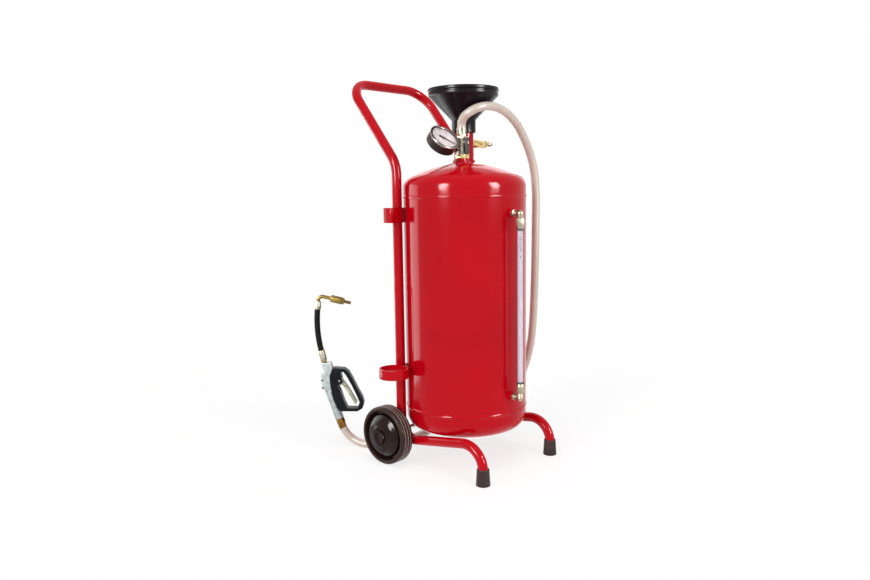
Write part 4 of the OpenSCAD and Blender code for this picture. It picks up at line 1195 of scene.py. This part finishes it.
@dataclass
class Trolley:
    """Bent posts with their bar, legs, feet, axle and sleeves."""

    tube_r: float = 10.0
    post_x: float = 113.0
    post_y: float = 81.46
    lean_z: float = 612.0
    # Thin dark strips at the lugs: painted shade for the shadowed gaps between the tank and its
    # posts.
    gap_shade_r: float = 127.8
    gap_shade_size: Pair = (4.6, 1.2)
    gap_shade_out: float = 5.15
    gap_shade_spans: tuple[Pair, ...] = ((497, 525), (187, 205))
    bar: Pair = (218.26, 784.6)
    split_z: float = 196.0
    heel_z: float = 45.0
    toe_z: float = 79.3
    foot_y: float = 135.0
    foot_floor: float = 5.03
    bends: tuple[float, float, float, float] = (60.0, 54.0, 38.0, 44.0)
    axle: Pair = (94.0, 60.0)
    axle_r: float = 5.0
    sleeve: Triple = (10.5, 97.5, 127.5)
    weld_from: float = 103.0
    weld_len: float = 20.0
    weld_steps: int = 24

    def handle(self) -> Piece:
        """Both posts, the arms and the bar, as one bent tube."""
        x, y, (by, bz) = self.post_x, self.post_y, self.bar
        line = Craft.rounded_path(
            [(-x, y, self.split_z), (-x, y, self.lean_z), (-x, by, bz), (x, by, bz),
             (x, y, self.lean_z), (x, y, self.split_z)],
            [self.bends[0], self.bends[1], self.bends[1], self.bends[0]])
        return Craft.swept("handle_frame", line, self.tube_r, sides=40)

    def leg(self, side: int, name: str) -> Piece:
        """One post's foot, its leg and its foot end."""
        x = side * self.post_x
        line = Craft.rounded_path(
            [(x, self.post_y, self.split_z), (x, self.post_y, self.heel_z),
             (x, -self.foot_y, self.toe_z), (x, -self.foot_y, self.foot_floor)],
            [self.bends[2], self.bends[3]])
        return Craft.swept(name, line, self.tube_r, sides=40)

    def foot(self, side: int) -> Piece:
        """A rubber cap with a rolled lip, three moulded rings and a chamfered sole."""
        r = self.tube_r
        outline = [(0, 0.3), (9, 0), (r + 3, 0), (r + 3.8, 0.5), (r + 4, 1.4), (r + 3.8, 3),
                   (r + 3.3, 3.6), (r + 3.3, 4.6), (r + 3.72, 5.1), (r + 3.3, 11), (r + 2.4, 27),
                   (r + 2.2, 29), (r + 2.25, 30.5), (r + 1.9, 32.3), (r + 1.3, 33),
                   (r + 0.7, 32.7), (r + 0.6, 25), (r + 0.09, 24.9), (r + 0.09, 5), (0, 5)]
        return Craft.spun(f"cap_{side}", outline, moved(side * self.post_x, -self.foot_y, 0), 72)

    def on_axle(self, side: int) -> Matrix:
        """The frame whose Z runs outwards along the axle on one side."""
        return moved(0, self.axle[0], self.axle[1]) @ turned(90 * side, "Y")

    def sleeves(self) -> list[Piece]:
        """The sleeves that carry the axle, with turned ends."""
        r, near, far = self.sleeve
        bore = self.axle_r + 0.03
        outline = [(bore, near), (r - 0.8, near), (r, near + 0.8), (r, far - 0.8),
                   (r - 0.8, far), (bore + 0.4, far), (bore, far - 0.4)]
        return [Craft.spun(f"sleeve_{s}", outline, self.on_axle(s), 64) for s in (-1, 1)]

    def sleeve_welds(self) -> list[Piece]:
        """Short welds that join each sleeve to its heel bend."""
        made = []
        for side in (-1, 1):
            for z in (-1, 1):
                line, widths = [], []
                for k in range(self.weld_steps + 1):
                    t = k / self.weld_steps
                    x = side * (self.weld_from + self.weld_len * t)
                    lift = z * (6.2 + 1.4 * math.cos((t - 0.5) * 2.4))
                    line.append(Vector((x, self.axle[0] - 8.0, self.axle[1] + lift)))
                    widths.append(2.0 + 0.2 * math.sin(14 * t * math.pi) - 1.2 * (2 * t - 1) ** 6)
                made.append(Craft.swept(f"w{side}{z}", line, widths, sides=10))
        return made

    def washers(self) -> list[Piece]:
        """Stamped washers with their edges rolled by the punch."""
        r, z = self.axle_r, self.sleeve[2]
        outline = [(r + 0.03, z), (r + 4.8, z), (r + 5, z + 0.3), (r + 4.9, z + 1),
                   (r + 4.6, z + 1.2), (r + 0.4, z + 1.2), (r + 0.03, z + 0.9)]
        return [Craft.spun(f"washer_{s}", outline, self.on_axle(s), 48) for s in (-1, 1)]

    def gap_shades(self) -> list[Piece]:
        """Dark strips on the lugs' fronts, between the tank and its posts: painted shade for the
        shadowed gaps there.
        """
        made = []
        for side in (-1, 1):
            for low, high in self.gap_shade_spans:
                gap_shade = Craft.block((*self.gap_shade_size, high - low), 0.3,
                                  (self.gap_shade_r, 0, (low + high) / 2))
                way = math.degrees(math.atan2(self.post_y, side * self.post_x))
                made.append(Craft.placed(gap_shade, turned(way, "Z") @ moved(0, -side * self.gap_shade_out, 0)))
        return made

    def build(self) -> None:
        """Builds and dresses the trolley."""
        # Dark strips of painted shade in the gaps beside the lugs.
        gap_shades = Craft.joined("painted_gap_shades", self.gap_shades())
        Craft.dressed(gap_shades, RUBBER_AND_SHADE, (), "dark_rubber")
        Craft.dressed(self.handle(), RED, ["handle_tube"], "red_paint")
        Craft.dressed(self.leg(-1, "left_leg"), RED, ["left_leg_tube"], "red_paint")
        Craft.dressed(self.leg(1, "right_leg"), RED, ["right_leg_tube"], "red_paint")
        caps = Craft.joined("rubber_feet", [self.foot(-1), self.foot(1)])
        Craft.dressed(caps, FOOT_RUBBER, ["foot_caps"], "dark_rubber")
        sleeves = Craft.joined("sleeves", self.sleeves())
        Craft.dressed(sleeves, RED, ["axle_sleeves"], "red_paint")
        Craft.dressed(Craft.joined("sleeve_welds", self.sleeve_welds()), RED_WELD, (), "red_paint")
        Craft.dressed(Craft.joined("washers", self.washers()), STEEL, ["axle_washers"], "steel")
        Craft.refined("axle_bar", "axle", 0.8, STEEL, "steel")
        Craft.kept("axle_clips", STEEL)
        for name, node in (("hook_strip", "upper_holder"), ("gun_ring", "lower_holder")):
            Craft.refined(name, node, 0.5, RED, "red_paint", steps=3)


@dataclass
class Wheel:
    """One wheel: grooved tyre, dished hub, nylon bush and cap."""

    side: int
    out_x: float = 158.0
    radius: float = 60.0
    width: float = 29.0
    shoulder: float = 5.4
    shoulder_steps: int = 8
    bead_r: float = 51.2
    axle: Pair = (94.0, 60.0)
    groove_first: float = 9.6
    groove_pitch: float = 7.0
    grooves: int = 3
    ribs: int = 8
    rib_size: Triple = (34.6, 2.4, 11.5)
    rib_at: Triple = (29.4, 0.0, -20.2)

    @property
    def body(self) -> str:
        """The CAD body of this wheel."""
        return "left_wheel" if self.side < 0 else "right_wheel"

    def place(self) -> Matrix:
        """The wheel's frame: its outer side at Z = 0."""
        return (moved(0, self.axle[0], self.axle[1]) @ turned(90 * self.side, "Y")
                @ moved(0, 0, self.out_x))

    def groove_at(self, index: int) -> float:
        """Height of the near edge of one of the tread's grooves."""
        return -self.groove_first - index * self.groove_pitch

    def tyre(self, name: str) -> Piece:
        """The tyre with rounded shoulders, side steps and running grooves."""
        r, s, w = self.radius, self.shoulder, self.width
        outline = [(self.bead_r, -0.9), (self.bead_r + 0.5, -0.25), (self.bead_r + 1.4, 0),
                   (r - s, 0)]
        outline += [(r - s + s * math.sin(a), -s + s * math.cos(a))
                    for a in (math.pi / 2 * k / self.shoulder_steps
                              for k in range(1, self.shoulder_steps + 1))]
        for i in range(self.grooves):
            z = self.groove_at(i)
            outline += [(r - 0.05, z + 0.5), (r - 0.5, z + 0.1), (r - 1.7, z - 0.35),
                        (r - 2, z - 0.8), (r - 1.7, z - 1.25), (r - 0.5, z - 1.7),
                        (r - 0.05, z - 2.1)]
        outline += [(r, -w + 1.6), (r - 0.5, -w + 0.5), (r - 1.6, -w), (self.bead_r, -w)]
        return Craft.spun(name, outline, self.place(), 144)

    def tread_highlights(self, name: str) -> Piece:
        """Thin pale rings at the grooves' edges: a painted highlight for the light that the tread's
        ridges catch.
        """
        rings = []
        for i in range(self.grooves):
            z = self.groove_at(i) + 0.7
            r = self.radius - 0.1
            rings.append(Craft.spun(f"edge{i}", [(r - 0.4, z - 0.9), (r + 0.1, z - 0.8),
                                                 (r + 0.15, z + 0.8), (r - 0.4, z + 0.9)],
                                    self.place(), 144))
        return Craft.joined(name, rings)

    def hub(self, name: str) -> Piece:
        """The moulded hub with its deep groove, raised dish and rounded boss."""
        rim, w, bush = self.bead_r - 0.03, self.width, 8.03
        outline = [(bush, -w), (12, -w), (12, -14.2), (12.6, -14), (38.5, -14), (39.5, -14.4),
                   (rim - 4, -w + 6), (rim - 4, -w + 3.4), (rim - 3, -w + 3), (rim, -w + 3),
                   (rim, -10.8), (rim - 0.7, -10), (45.6, -10), (44.7, -9.6), (44.4, -8.8),
                   (43.6, -3.6), (43.2, -2.8), (42.4, -2.0), (41.2, -1.2), (39, 0.4),
                   (36.5, 2.3), (34, 4.0), (31.5, 5.1), (28.5, 5.9), (22.6, 6.6), (21, 7.2),
                   (19.6, 7.85), (18.6, 8), (17.6, 7.9), (17.25, 7.5),
                   (17.2, 5.5), (12, 5.5), (12, -1.4), (bush, -1.4)]
        return Craft.spun(name, outline, self.place(), 144)

    def cap(self, name: str) -> Piece:
        """The hexagonal cap that closes the boss over the axle's end."""
        collar = Craft.spun("collar", [(0, 5.5), (17, 5.5), (17, 6.6), (16.6, 7), (0, 7)],
                            self.place(), 96)
        nut = Craft.prism("nut", 6, 15.6, 4.2, self.place() @ moved(0, 0, 6.8), 0.9, 11.5)
        return Craft.joined(name, [collar, nut])

    def back_ribs(self) -> list[Piece]:
        """Ribs that stiffen the hollow back of the hub, copied round its middle."""
        made = []
        for k in range(self.ribs):
            rib = Craft.block(self.rib_size, 0.6)
            rib.data.transform(turned(360 * k / self.ribs, "Z") @ moved(*self.rib_at))
            made.append(Craft.smooth(Craft.placed(rib, self.place())))
        return made

    def build(self) -> None:
        """Builds and dresses the wheel."""
        tag = "left" if self.side < 0 else "right"
        Craft.dressed(self.tyre(f"{tag}_tread"), TYRE, [f"{tag}_tyre"], "dark_wheel", self.body)
        # The pale rings on the tread are painted highlights on the grooves' edges.
        Craft.dressed(self.tread_highlights(f"{tag}_tread_highlights"), TREAD_HIGHLIGHT, (), "dark_wheel",
                      self.body)
        hub = Craft.joined(f"{tag}_disc", [self.hub("hub"), *self.back_ribs()])
        Craft.dressed(hub, WHEEL, [f"{tag}_hub"], "hub_plastic", self.body)
        Craft.dressed(self.cap(f"{tag}_dust_cap"), WHEEL, [f"{tag}_hub_cap"], "hub_plastic",
                      self.body)
        Craft.kept(f"{tag}_bush", NYLON)


# ------------------------------------------------------------------ filling

@dataclass
class Filling:
    """Filler pipe, funnel, plug and the air inlet in the pipe's side."""

    pipe_top: float = 696.0
    stub_low: float = 673.0
    cone_low: float = 699.0
    stub_r: float = 24.3
    throat_r: float = 17.2
    rim_r: float = 71.5
    rim_z: float = 760.0
    rim_low: float = 744.0
    air_z: float = 653.5
    rib_size: Triple = (2.6, 2.4, 22.8)

    def funnel(self) -> Piece:
        """The funnel: stub, thin cone and an upright rim with a rolled lip."""
        rim, z = self.rim_r, self.rim_z
        outline = [
            (20.3, self.stub_low), (self.stub_r - 0.4, self.stub_low),
            (self.stub_r, self.stub_low + 0.5), (self.stub_r, self.cone_low - 1.2),
            (self.stub_r + 0.5, self.cone_low), (rim - 3.2, self.rim_low - 0.6),
            (rim - 1.6, self.rim_low + 0.5), (rim - 1, self.rim_low + 1.8), (rim - 1, z - 9.9),
            (rim - 1.3, z - 9.2), (rim - 2, z - 8.8), (rim - 2, z - 7.4), (rim - 1.3, z - 6.9),
            (rim - 0.2, z - 6.5), (rim, z - 6), (rim, z - 1.2), (rim - 0.4, z - 0.3),
            (rim - 1.3, z), (rim - 3, z), (rim - 3.6, z - 0.4), (rim - 4.1, z - 2),
            (rim - 5, self.rim_low + 2), (rim - 5.8, self.rim_low + 0.4),
            (self.throat_r + 3.6, self.cone_low + 2.4), (self.throat_r + 1.6, self.cone_low + 1.4),
            (self.throat_r, self.cone_low - 0.4), (self.throat_r, self.pipe_top),
            (20.3, self.pipe_top)]
        bowl = Craft.spun("bowl", outline, HERE, 160)
        rib = Craft.block(self.rib_size, 0.5, (self.stub_r + 0.6, 0, self.stub_low + 11.5))
        return Craft.joined("funnel_bowl", [bowl, Craft.placed(rib, HERE)])

    def inlet(self) -> Piece:
        """The turned body of the inlet valve, with its collar and bore."""
        outline = [(2, 18), (3.95, 18), (3.95, 20), (7.6, 20), (8.5, 20.5), (8.9, 21.6),
                   (8.9, 58.6), (8.4, 59.6), (7.7, 60), (7.7, 61.2), (8.3, 61.7),
                   (8.3, 66.8), (7.7, 67.6), (6.6, 68.4), (6.2, 70.4), (2, 70.4)]
        return Craft.spun("inlet_valve", outline, moved(0, 0, self.air_z) @ turned(90, "Y"), 64)

    def build(self) -> None:
        """Builds and dresses the filling parts."""
        Craft.dressed(self.funnel(), FUNNEL, ["funnel"], "black_plastic")
        Craft.refined("filler_neck", "filler_pipe", 0.35, RED, "red_paint")
        Craft.refined("pull_plug", "filler_plug", 0.7, BLACK, "black_plastic", "plug", 3)
        Craft.kept("plug_seal", RUBBER_AND_SHADE)
        Craft.dressed(self.inlet(), BRASS, ["air_valve"], "brass")
        Craft.refined("inlet_nipple", "air_nipple", 0.25, NICKEL, "old_brass")


# ------------------------------------------------------------------ outlet and gauge

@dataclass
class Outlet:
    """Neck, reducer, ball valve with its lever, and the hose's crimped tail."""

    neck: Pair = (-30.0, -20.0)
    tail_z: float = 668.0
    hex_z: float = 664.0
    ferrule_r: float = 10.0
    ferrule_h: float = 13.0

    def ferrule(self) -> Piece:
        """The crimped sleeve over the hose's end, with rounded crimps."""
        r, h = self.ferrule_r, self.ferrule_h
        outline = [(4, 0), (r - 0.5, 0), (r, 0.5)]
        for z in (3, 6.5, 10):
            outline += [(r, z - 1.1), (r - 0.25, z - 0.8), (r - 0.6, z - 0.3), (r - 0.6, z + 0.3),
                        (r - 0.25, z + 0.8), (r, z + 1.1)]
        outline += [(r, h - 0.7), (r - 0.3, h - 0.2), (r - 0.9, h), (8.6, h), (8.5, h - 1),
                    (4, h - 1)]
        return Craft.spun("sleeve", outline, moved(*self.neck, self.tail_z), 72)

    def build(self) -> None:
        """Builds and dresses the outlet."""
        Craft.refined("outlet_stub", "outlet_neck", 0.35, RED, "red_paint")
        Craft.refined("reducer_hex", "neck_reducer", 0.5, BRASS, "brass")
        Craft.refined("valve_housing", "valve_body", 0.4, NICKEL, "nickel")
        Craft.refined("lever_plate", "valve_lever", 0.45, BLACK, "black_plastic", "lever", 3)
        hexagon = Craft.prism("hex", 6, 9.6, 4, moved(*self.neck, self.hex_z), 0.4)
        tail = Craft.joined("crimped_tail", [hexagon, self.ferrule()])
        Craft.dressed(tail, NICKEL, ["hose_tail"], "nickel")
        Craft.kept("valve_seats", PTFE)
        for node in ("valve_ball", "valve_stem", "dip_tube"):
            Craft.kept(node, STEEL)


@dataclass
class Gauge:
    """Pressure gauge: cup, bezel, printed dial, needle and domed glass."""

    radius: float = 31.5
    depth: float = 22.0
    wall: float = 1.8
    tilt: float = 48.0
    yaw: float = -9.5
    roll: float = 65.7
    elbow: Triple = (-42.5, -20.0, 639.0)
    socket: float = 5.0
    zero: float = 196.0
    sweep: float = 270.0
    dial_drop: float = 4.5
    ticks: int = 60
    tick_outer: float = 24.6
    tick_inner: Triple = (20.2, 22.2, 23.0)
    tick_half: Pair = (0.42, 0.18)
    figures: int = 6
    figure_r: float = 16.6
    figure_size: float = 5.2

    def turn(self) -> Matrix:
        """The gauge's turn: its dial's normal along Z and twelve o'clock along Y."""
        return turned(self.yaw, "Z") @ turned(self.tilt, "X") @ turned(self.roll, "Z")

    def place(self) -> Matrix:
        """The gauge's frame."""
        stem = self.turn() @ Vector((0, -1, 0))
        at = Vector(self.elbow) - (self.radius + self.socket) * stem
        return Matrix.Translation(at) @ self.turn()

    @property
    def front(self) -> float:
        """Height of the bezel's face above the frame's origin."""
        return self.depth - 5

    def cup(self) -> Piece:
        """The case that holds the dial, with a rounded back."""
        r, w = self.radius, self.wall
        low = self.front - self.depth
        top = self.front
        outline = [(0, low), (r - 4, low), (r - 2, low + 0.5), (r - 1, low + 1.6),
                   (r - 0.8, low + 2.8), (r - 0.8, top - 5.4), (r - 0.5, top - 5),
                   (r - 0.6, top - 4.4), (r - w, top - 4.4), (r - w, top - 6.5),
                   (r - w - 1, top - 6.5), (r - w - 1, low + 3), (0, low + 3)]
        return Craft.spun("cup", outline, self.place(), 128)

    def bezel(self) -> Piece:
        """The rolled ring that holds the glass."""
        r, w, top = self.radius, self.wall, self.front
        outline = [(r - w, top - 4.3), (r - 0.5, top - 4.3), (r, top - 3.9), (r, top - 1.4),
                   (r - 0.25, top - 0.6), (r - 0.8, top - 0.1), (r - 1.3, top),
                   (r - 2.2, top - 0.08), (r - 4.8, top - 0.7), (r - 5, top - 0.85),
                   (r - 4.8, top - 0.97), (r - w, top - 0.96)]
        return Craft.spun("gauge_bezel", outline, self.place(), 128)

    def block(self) -> Piece:
        """The square block of the stem below the case."""
        far, near = self.radius + 3, self.radius - 1.8
        piece = Craft.block((11, far - near, 9), 0.7, (0, -(far + near) / 2, 0))
        return Craft.smooth(Craft.placed(piece, self.place()))

    def bearing(self, share: float) -> float:
        """The direction on the dial, in radians, at a share of the needle's sweep."""
        return math.radians(-self.zero + 90 - self.sweep * share)

    def print_marks(self) -> Piece:
        """Generic ticks and figures round the dial."""
        z = self.front - self.dial_drop + 0.06
        strips = []
        for i in range(self.ticks + 1):
            a = self.bearing(i / self.ticks)
            rank = 0 if i % 10 == 0 else (1 if i % 5 == 0 else 2)
            half = self.tick_half[min(rank, 1)]
            strips.append([(r * math.cos(a) - s * math.sin(a), r * math.sin(a) + s * math.cos(a), z)
                           for r in (self.tick_inner[rank], self.tick_outer)
                           for s in (-half, half)])
        made = [Craft.printed("ticks", strips, self.place())]
        for i in range(self.figures + 1):
            a = self.bearing(i / self.figures)
            Craft.nothing_selected()
            bpy.ops.object.text_add(location=(0, 0, 0))
            word = bpy.context.active_object
            word.data.body = str(2 * i)
            word.data.size = self.figure_size
            word.data.align_x = "CENTER"
            word.data.align_y = "CENTER"
            Craft.take(word)
            bpy.ops.object.convert(target="MESH")
            word = bpy.context.active_object
            word.data.transform(moved(self.figure_r * math.cos(a), self.figure_r * math.sin(a),
                                      z))
            made.append(Craft.placed(word, self.place()))
        return Craft.joined("dial_print", made)

    def card(self) -> Piece:
        """The dial's card with its raised edge and two screw heads."""
        r, z = self.radius - self.wall - 1.1, self.front - self.dial_drop
        outline = [(0, z - 1), (r, z - 1), (r, z - 0.2), (r - 0.2, z), (0, z)]
        plate = Craft.spun("plate", outline, self.place(), 128)
        heads = []
        for x in (-7.5, 7.5):
            place = self.place() @ moved(x, -9, z)
            heads.append(Craft.spun(f"screw{x}", [(0, 0), (1.5, 0), (1.4, 0.3), (0.9, 0.55),
                                                 (0, 0.6)], place, 20))
        return Craft.joined("dial_card", [plate, *heads])

    def pointer(self) -> Piece:
        """The flat needle with its broad tail and its turned cap."""
        place = self.place() @ moved(0, 0, self.front - 4.0) @ turned(-self.zero, "Z")
        edge = [(-2.3, -11), (2.3, -11), (2.6, -10.2), (1.9, 0), (1.0, 22), (0, 23.6),
                (-1.0, 22), (-1.9, 0), (-2.6, -10.2)]
        count = len(edge)
        points = [(x, y, z) for z in (0.05, 0.6) for x, y in edge]
        faces = [tuple(range(count))[::-1], tuple(range(count, 2 * count))]
        faces += [(k, (k + 1) % count, count + (k + 1) % count, count + k)
                  for k in range(count)]
        blade = Craft.placed(Craft.from_points("blade", points, [], faces), place)
        cap = Craft.spun("cap", [(0, 0.1), (2.9, 0.1), (3, 0.25), (3, 0.9), (2.6, 1.15),
                                 (0, 1.2)], place, 32)
        return Craft.joined("pointer", [cap, blade])

    def glass(self) -> Piece:
        """The glass, slightly domed."""
        r, z = self.radius - self.wall - 0.03, self.front - 2.9
        dome = [(r * k / 12, z + 1.2 + 0.7 * (1 - (k / 12) ** 2)) for k in range(12)]
        outline = dome + [(r - 0.2, z + 1.2), (r, z + 1.0), (r, z), (0, z)]
        return Craft.spun("glass", outline, self.place(), 96)

    def build(self) -> None:
        """Builds and dresses the gauge."""
        Craft.dressed(Craft.joined("gauge_cup", [self.cup(), self.block()]), CASE, ["gauge_case"],
                      "black_plastic")
        Craft.dressed(self.bezel(), BEZEL, (), "black_plastic")
        Craft.dressed(self.card(), DIAL, ["gauge_dial"], "dial_white")
        Craft.dressed(self.print_marks(), INK, (), "needle_black")
        Craft.dressed(self.glass(), GLASS, ["gauge_lens"], "clear")
        Craft.dressed(self.pointer(), INK, ["gauge_needle"], "needle_black", "needle")
        Craft.refined("gauge_bend", "gauge_elbow", 0.0, BLACK, "black_plastic")


# ------------------------------------------------------------------ sight tube

@dataclass
class SightLevel:
    """The sight tube between its two elbows, with generic level marks."""

    turn: float = -95.0
    reach: float = 150.0
    top_z: float = 513.0
    low_z: float = 152.0
    tube_r: float = 5.2
    nut_top: float = 29.0
    seat: float = 6.0

    def place(self) -> Matrix:
        """The tube's frame, at the floor."""
        return turned(self.turn, "Z") @ moved(self.reach, 0, 0)

    def tube(self) -> Piece:
        """The milky tube with fire-polished ends."""
        low, top = self.low_z + self.nut_top - self.seat, self.top_z - self.nut_top + self.seat
        r = self.tube_r
        outline = [(r - 1.4, low + 0.3), (r - 1.1, low), (r - 0.3, low), (r, low + 0.3),
                   (r, top - 0.3), (r - 0.3, top), (r - 1.1, top), (r - 1.4, top - 0.3)]
        return Craft.spun("sight_glass", outline, self.place(), 64)

    def marks(self) -> Piece:
        """Short printed marks near the tube's top."""
        strips = []
        r = self.tube_r + 0.04
        for z, high, wide in ((468, 1.0, 40), (463.5, 1.0, 52), (459, 1.0, 40), (454, 1.0, 52),
                              (449.5, 1.0, 40), (442, 4.5, 14), (429, 1.6, 30)):
            angles = [math.radians(-42 - wide / 2 + wide * k / 5 - self.turn - 95)
                      for k in range(6)]
            strips.append([(r * math.cos(a), r * math.sin(a), h)
                           for a in angles for h in (z, z + high)])
        return Craft.printed("tube_marks", strips, self.place())

    def build(self) -> None:
        """Builds and dresses the sight tube."""
        for name, node, edge, finish, slot in (
                ("level_bosses", "sight_bosses", 0.5, RED, "red_paint"),
                ("level_elbows", "sight_elbows", 0.35, NICKEL, "old_brass"),
                ("level_nuts", "sight_nuts", 0.5, NICKEL, "old_brass")):
            Craft.refined(name, node, edge, finish, slot)
        Craft.kept("sight_seals", RUBBER_AND_SHADE)
        Craft.dressed(self.tube(), SIGHT_PLASTIC, ["sight_tube"], "clear_tube")
        Craft.dressed(self.marks(), MARKS, (), "needle_black")


# ------------------------------------------------------------------ gun and spout

@dataclass
class Gun:
    """Dispensing gun: swivel, cast body, guard, trigger and plunger."""

    base: Triple = (-137.0, 242.0, 44.0)
    turn: float = -47.6
    skin: float = 0.8
    boss_at: Triple = (-39.5, 0.0, 87.6)
    nut_at: Triple = (-36.5, 0.0, 147.0)

    def place(self) -> Matrix:
        """The gun's frame, with its plane in X and Z."""
        return moved(*self.base) @ turned(self.turn, "Z")

    def casting(self) -> Piece:
        """The cast body, blended where its parts meet."""
        piece = Craft.softened("gun_casting", "gun_body", 0.0)
        Craft.modified(piece, "REMESH", mode="VOXEL", voxel_size=self.skin * MM)
        Craft.modified(piece, "SMOOTH", factor=0.5, iterations=3)
        return Craft.smooth(piece, 60)

    def boss_cap(self) -> Piece:
        """The black cap under the boss beside the valve chamber, and its sealing ring."""
        foot = self.place() @ moved(*self.boss_at)
        cap = Craft.spun("cap", [(0, 0), (3.6, 0), (4.4, 0.5), (4.6, 1.4), (4.6, 3.9), (0, 3.9)],
                         foot, 40)
        ring = Craft.spun("ring", [(5.2, 18.6), (6.15, 18.6), (6.35, 19.2), (6.35, 20.4),
                                   (6.15, 21), (5.2, 21)], foot, 40)
        return Craft.joined("boss_cap", [cap, ring])

    def build(self) -> None:
        """Builds and dresses the gun."""
        Craft.dressed(self.boss_cap(), BLACK, (), "black_plastic", "gun")
        nut = Craft.prism("outlet_nut", 6, 6.8, 3.2, self.place() @ moved(*self.nut_at), 0.35)
        Craft.dressed(nut, NOZZLE_BRASS, (), "brass", "gun")
        Craft.dressed(self.casting(), CAST_ALU, ["gun_body"], "cast_alu", "gun")
        Craft.refined("guard_moulding", "gun_guard", 1.4, GUARD, "black_plastic", "gun", 4)
        Craft.refined("trigger_lever", "gun_trigger", 0.8, PALE_METAL, "pale_metal",
                      "trigger", 3)
        Craft.kept("trigger_pin", STEEL)
        Craft.kept("valve_plunger", BRASS)
        Craft.refined("swivel", "gun_swivel", 0.45, OLD_BRASS, "old_brass")


@dataclass
class Spout:
    """Flexible spout between its ferrules, bent pipe and non-drip nozzle."""

    gun: Gun
    ferrule_at: Pair = (-37.4, 151.5)
    ferrule_len: float = 23.0
    lean: float = 12.5
    turn: float = 19.0
    bend_r: float = 275.0
    radius: float = 6.3

    def hose(self) -> Piece:
        """The black hose, a circular arc that keeps its curve."""
        a, b = math.radians(self.lean), math.radians(self.turn - self.lean)
        start = (Vector((self.ferrule_at[0], 0, self.ferrule_at[1]))
                 + self.ferrule_len * Vector((-math.sin(a), 0, math.cos(a))))
        reach = self.bend_r * math.tan(math.radians(self.turn) / 2)
        corner = start + reach * Vector((-math.sin(a), 0, math.cos(a)))
        end = corner + reach * Vector((math.sin(b), 0, math.cos(b)))
        line = Craft.rounded_path([tuple(start), tuple(corner), tuple(end)],
                                  [self.bend_r - 0.01], 0.35)
        return Craft.swept("spout_sleeve", line, self.radius, self.gun.place(), 28)

    def build(self) -> None:
        """Builds and dresses the spout."""
        Craft.dressed(self.hose(), SPOUT_RUBBER, ["spout_hose"], "black_rubber", "gun")
        for name, node, edge, finish, slot in (
                ("gun_collar", "spout_ferrule", 0.4, PALE_METAL, "pale_metal"),
                ("pipe_collar", "end_ferrule", 0.4, PALE_METAL, "pale_metal"),
                ("nozzle_pipe", "spout_pipe", 0.0, NOZZLE_BRASS, "brass"),
                ("nozzle_hex", "spout_nozzle", 0.5, NOZZLE_BRASS, "brass")):
            Craft.refined(name, node, edge, finish, slot, "gun")


# ------------------------------------------------------------------ the whole

def main() -> None:
    """Builds the studio and each sub-assembly in order."""
    Studio().build()
    gun = Gun()
    gun.build()
    SupplyHose().build()
    for part in (Tank(), Trolley(), Wheel(-1), Wheel(1), Filling(), Outlet(), Gauge(),
                 SightLevel(), Spout(gun)):
        part.build()
        log.info("built %s", type(part).__name__)
    bpy.context.view_layer.update()


if __name__ == "__main__":
    main()
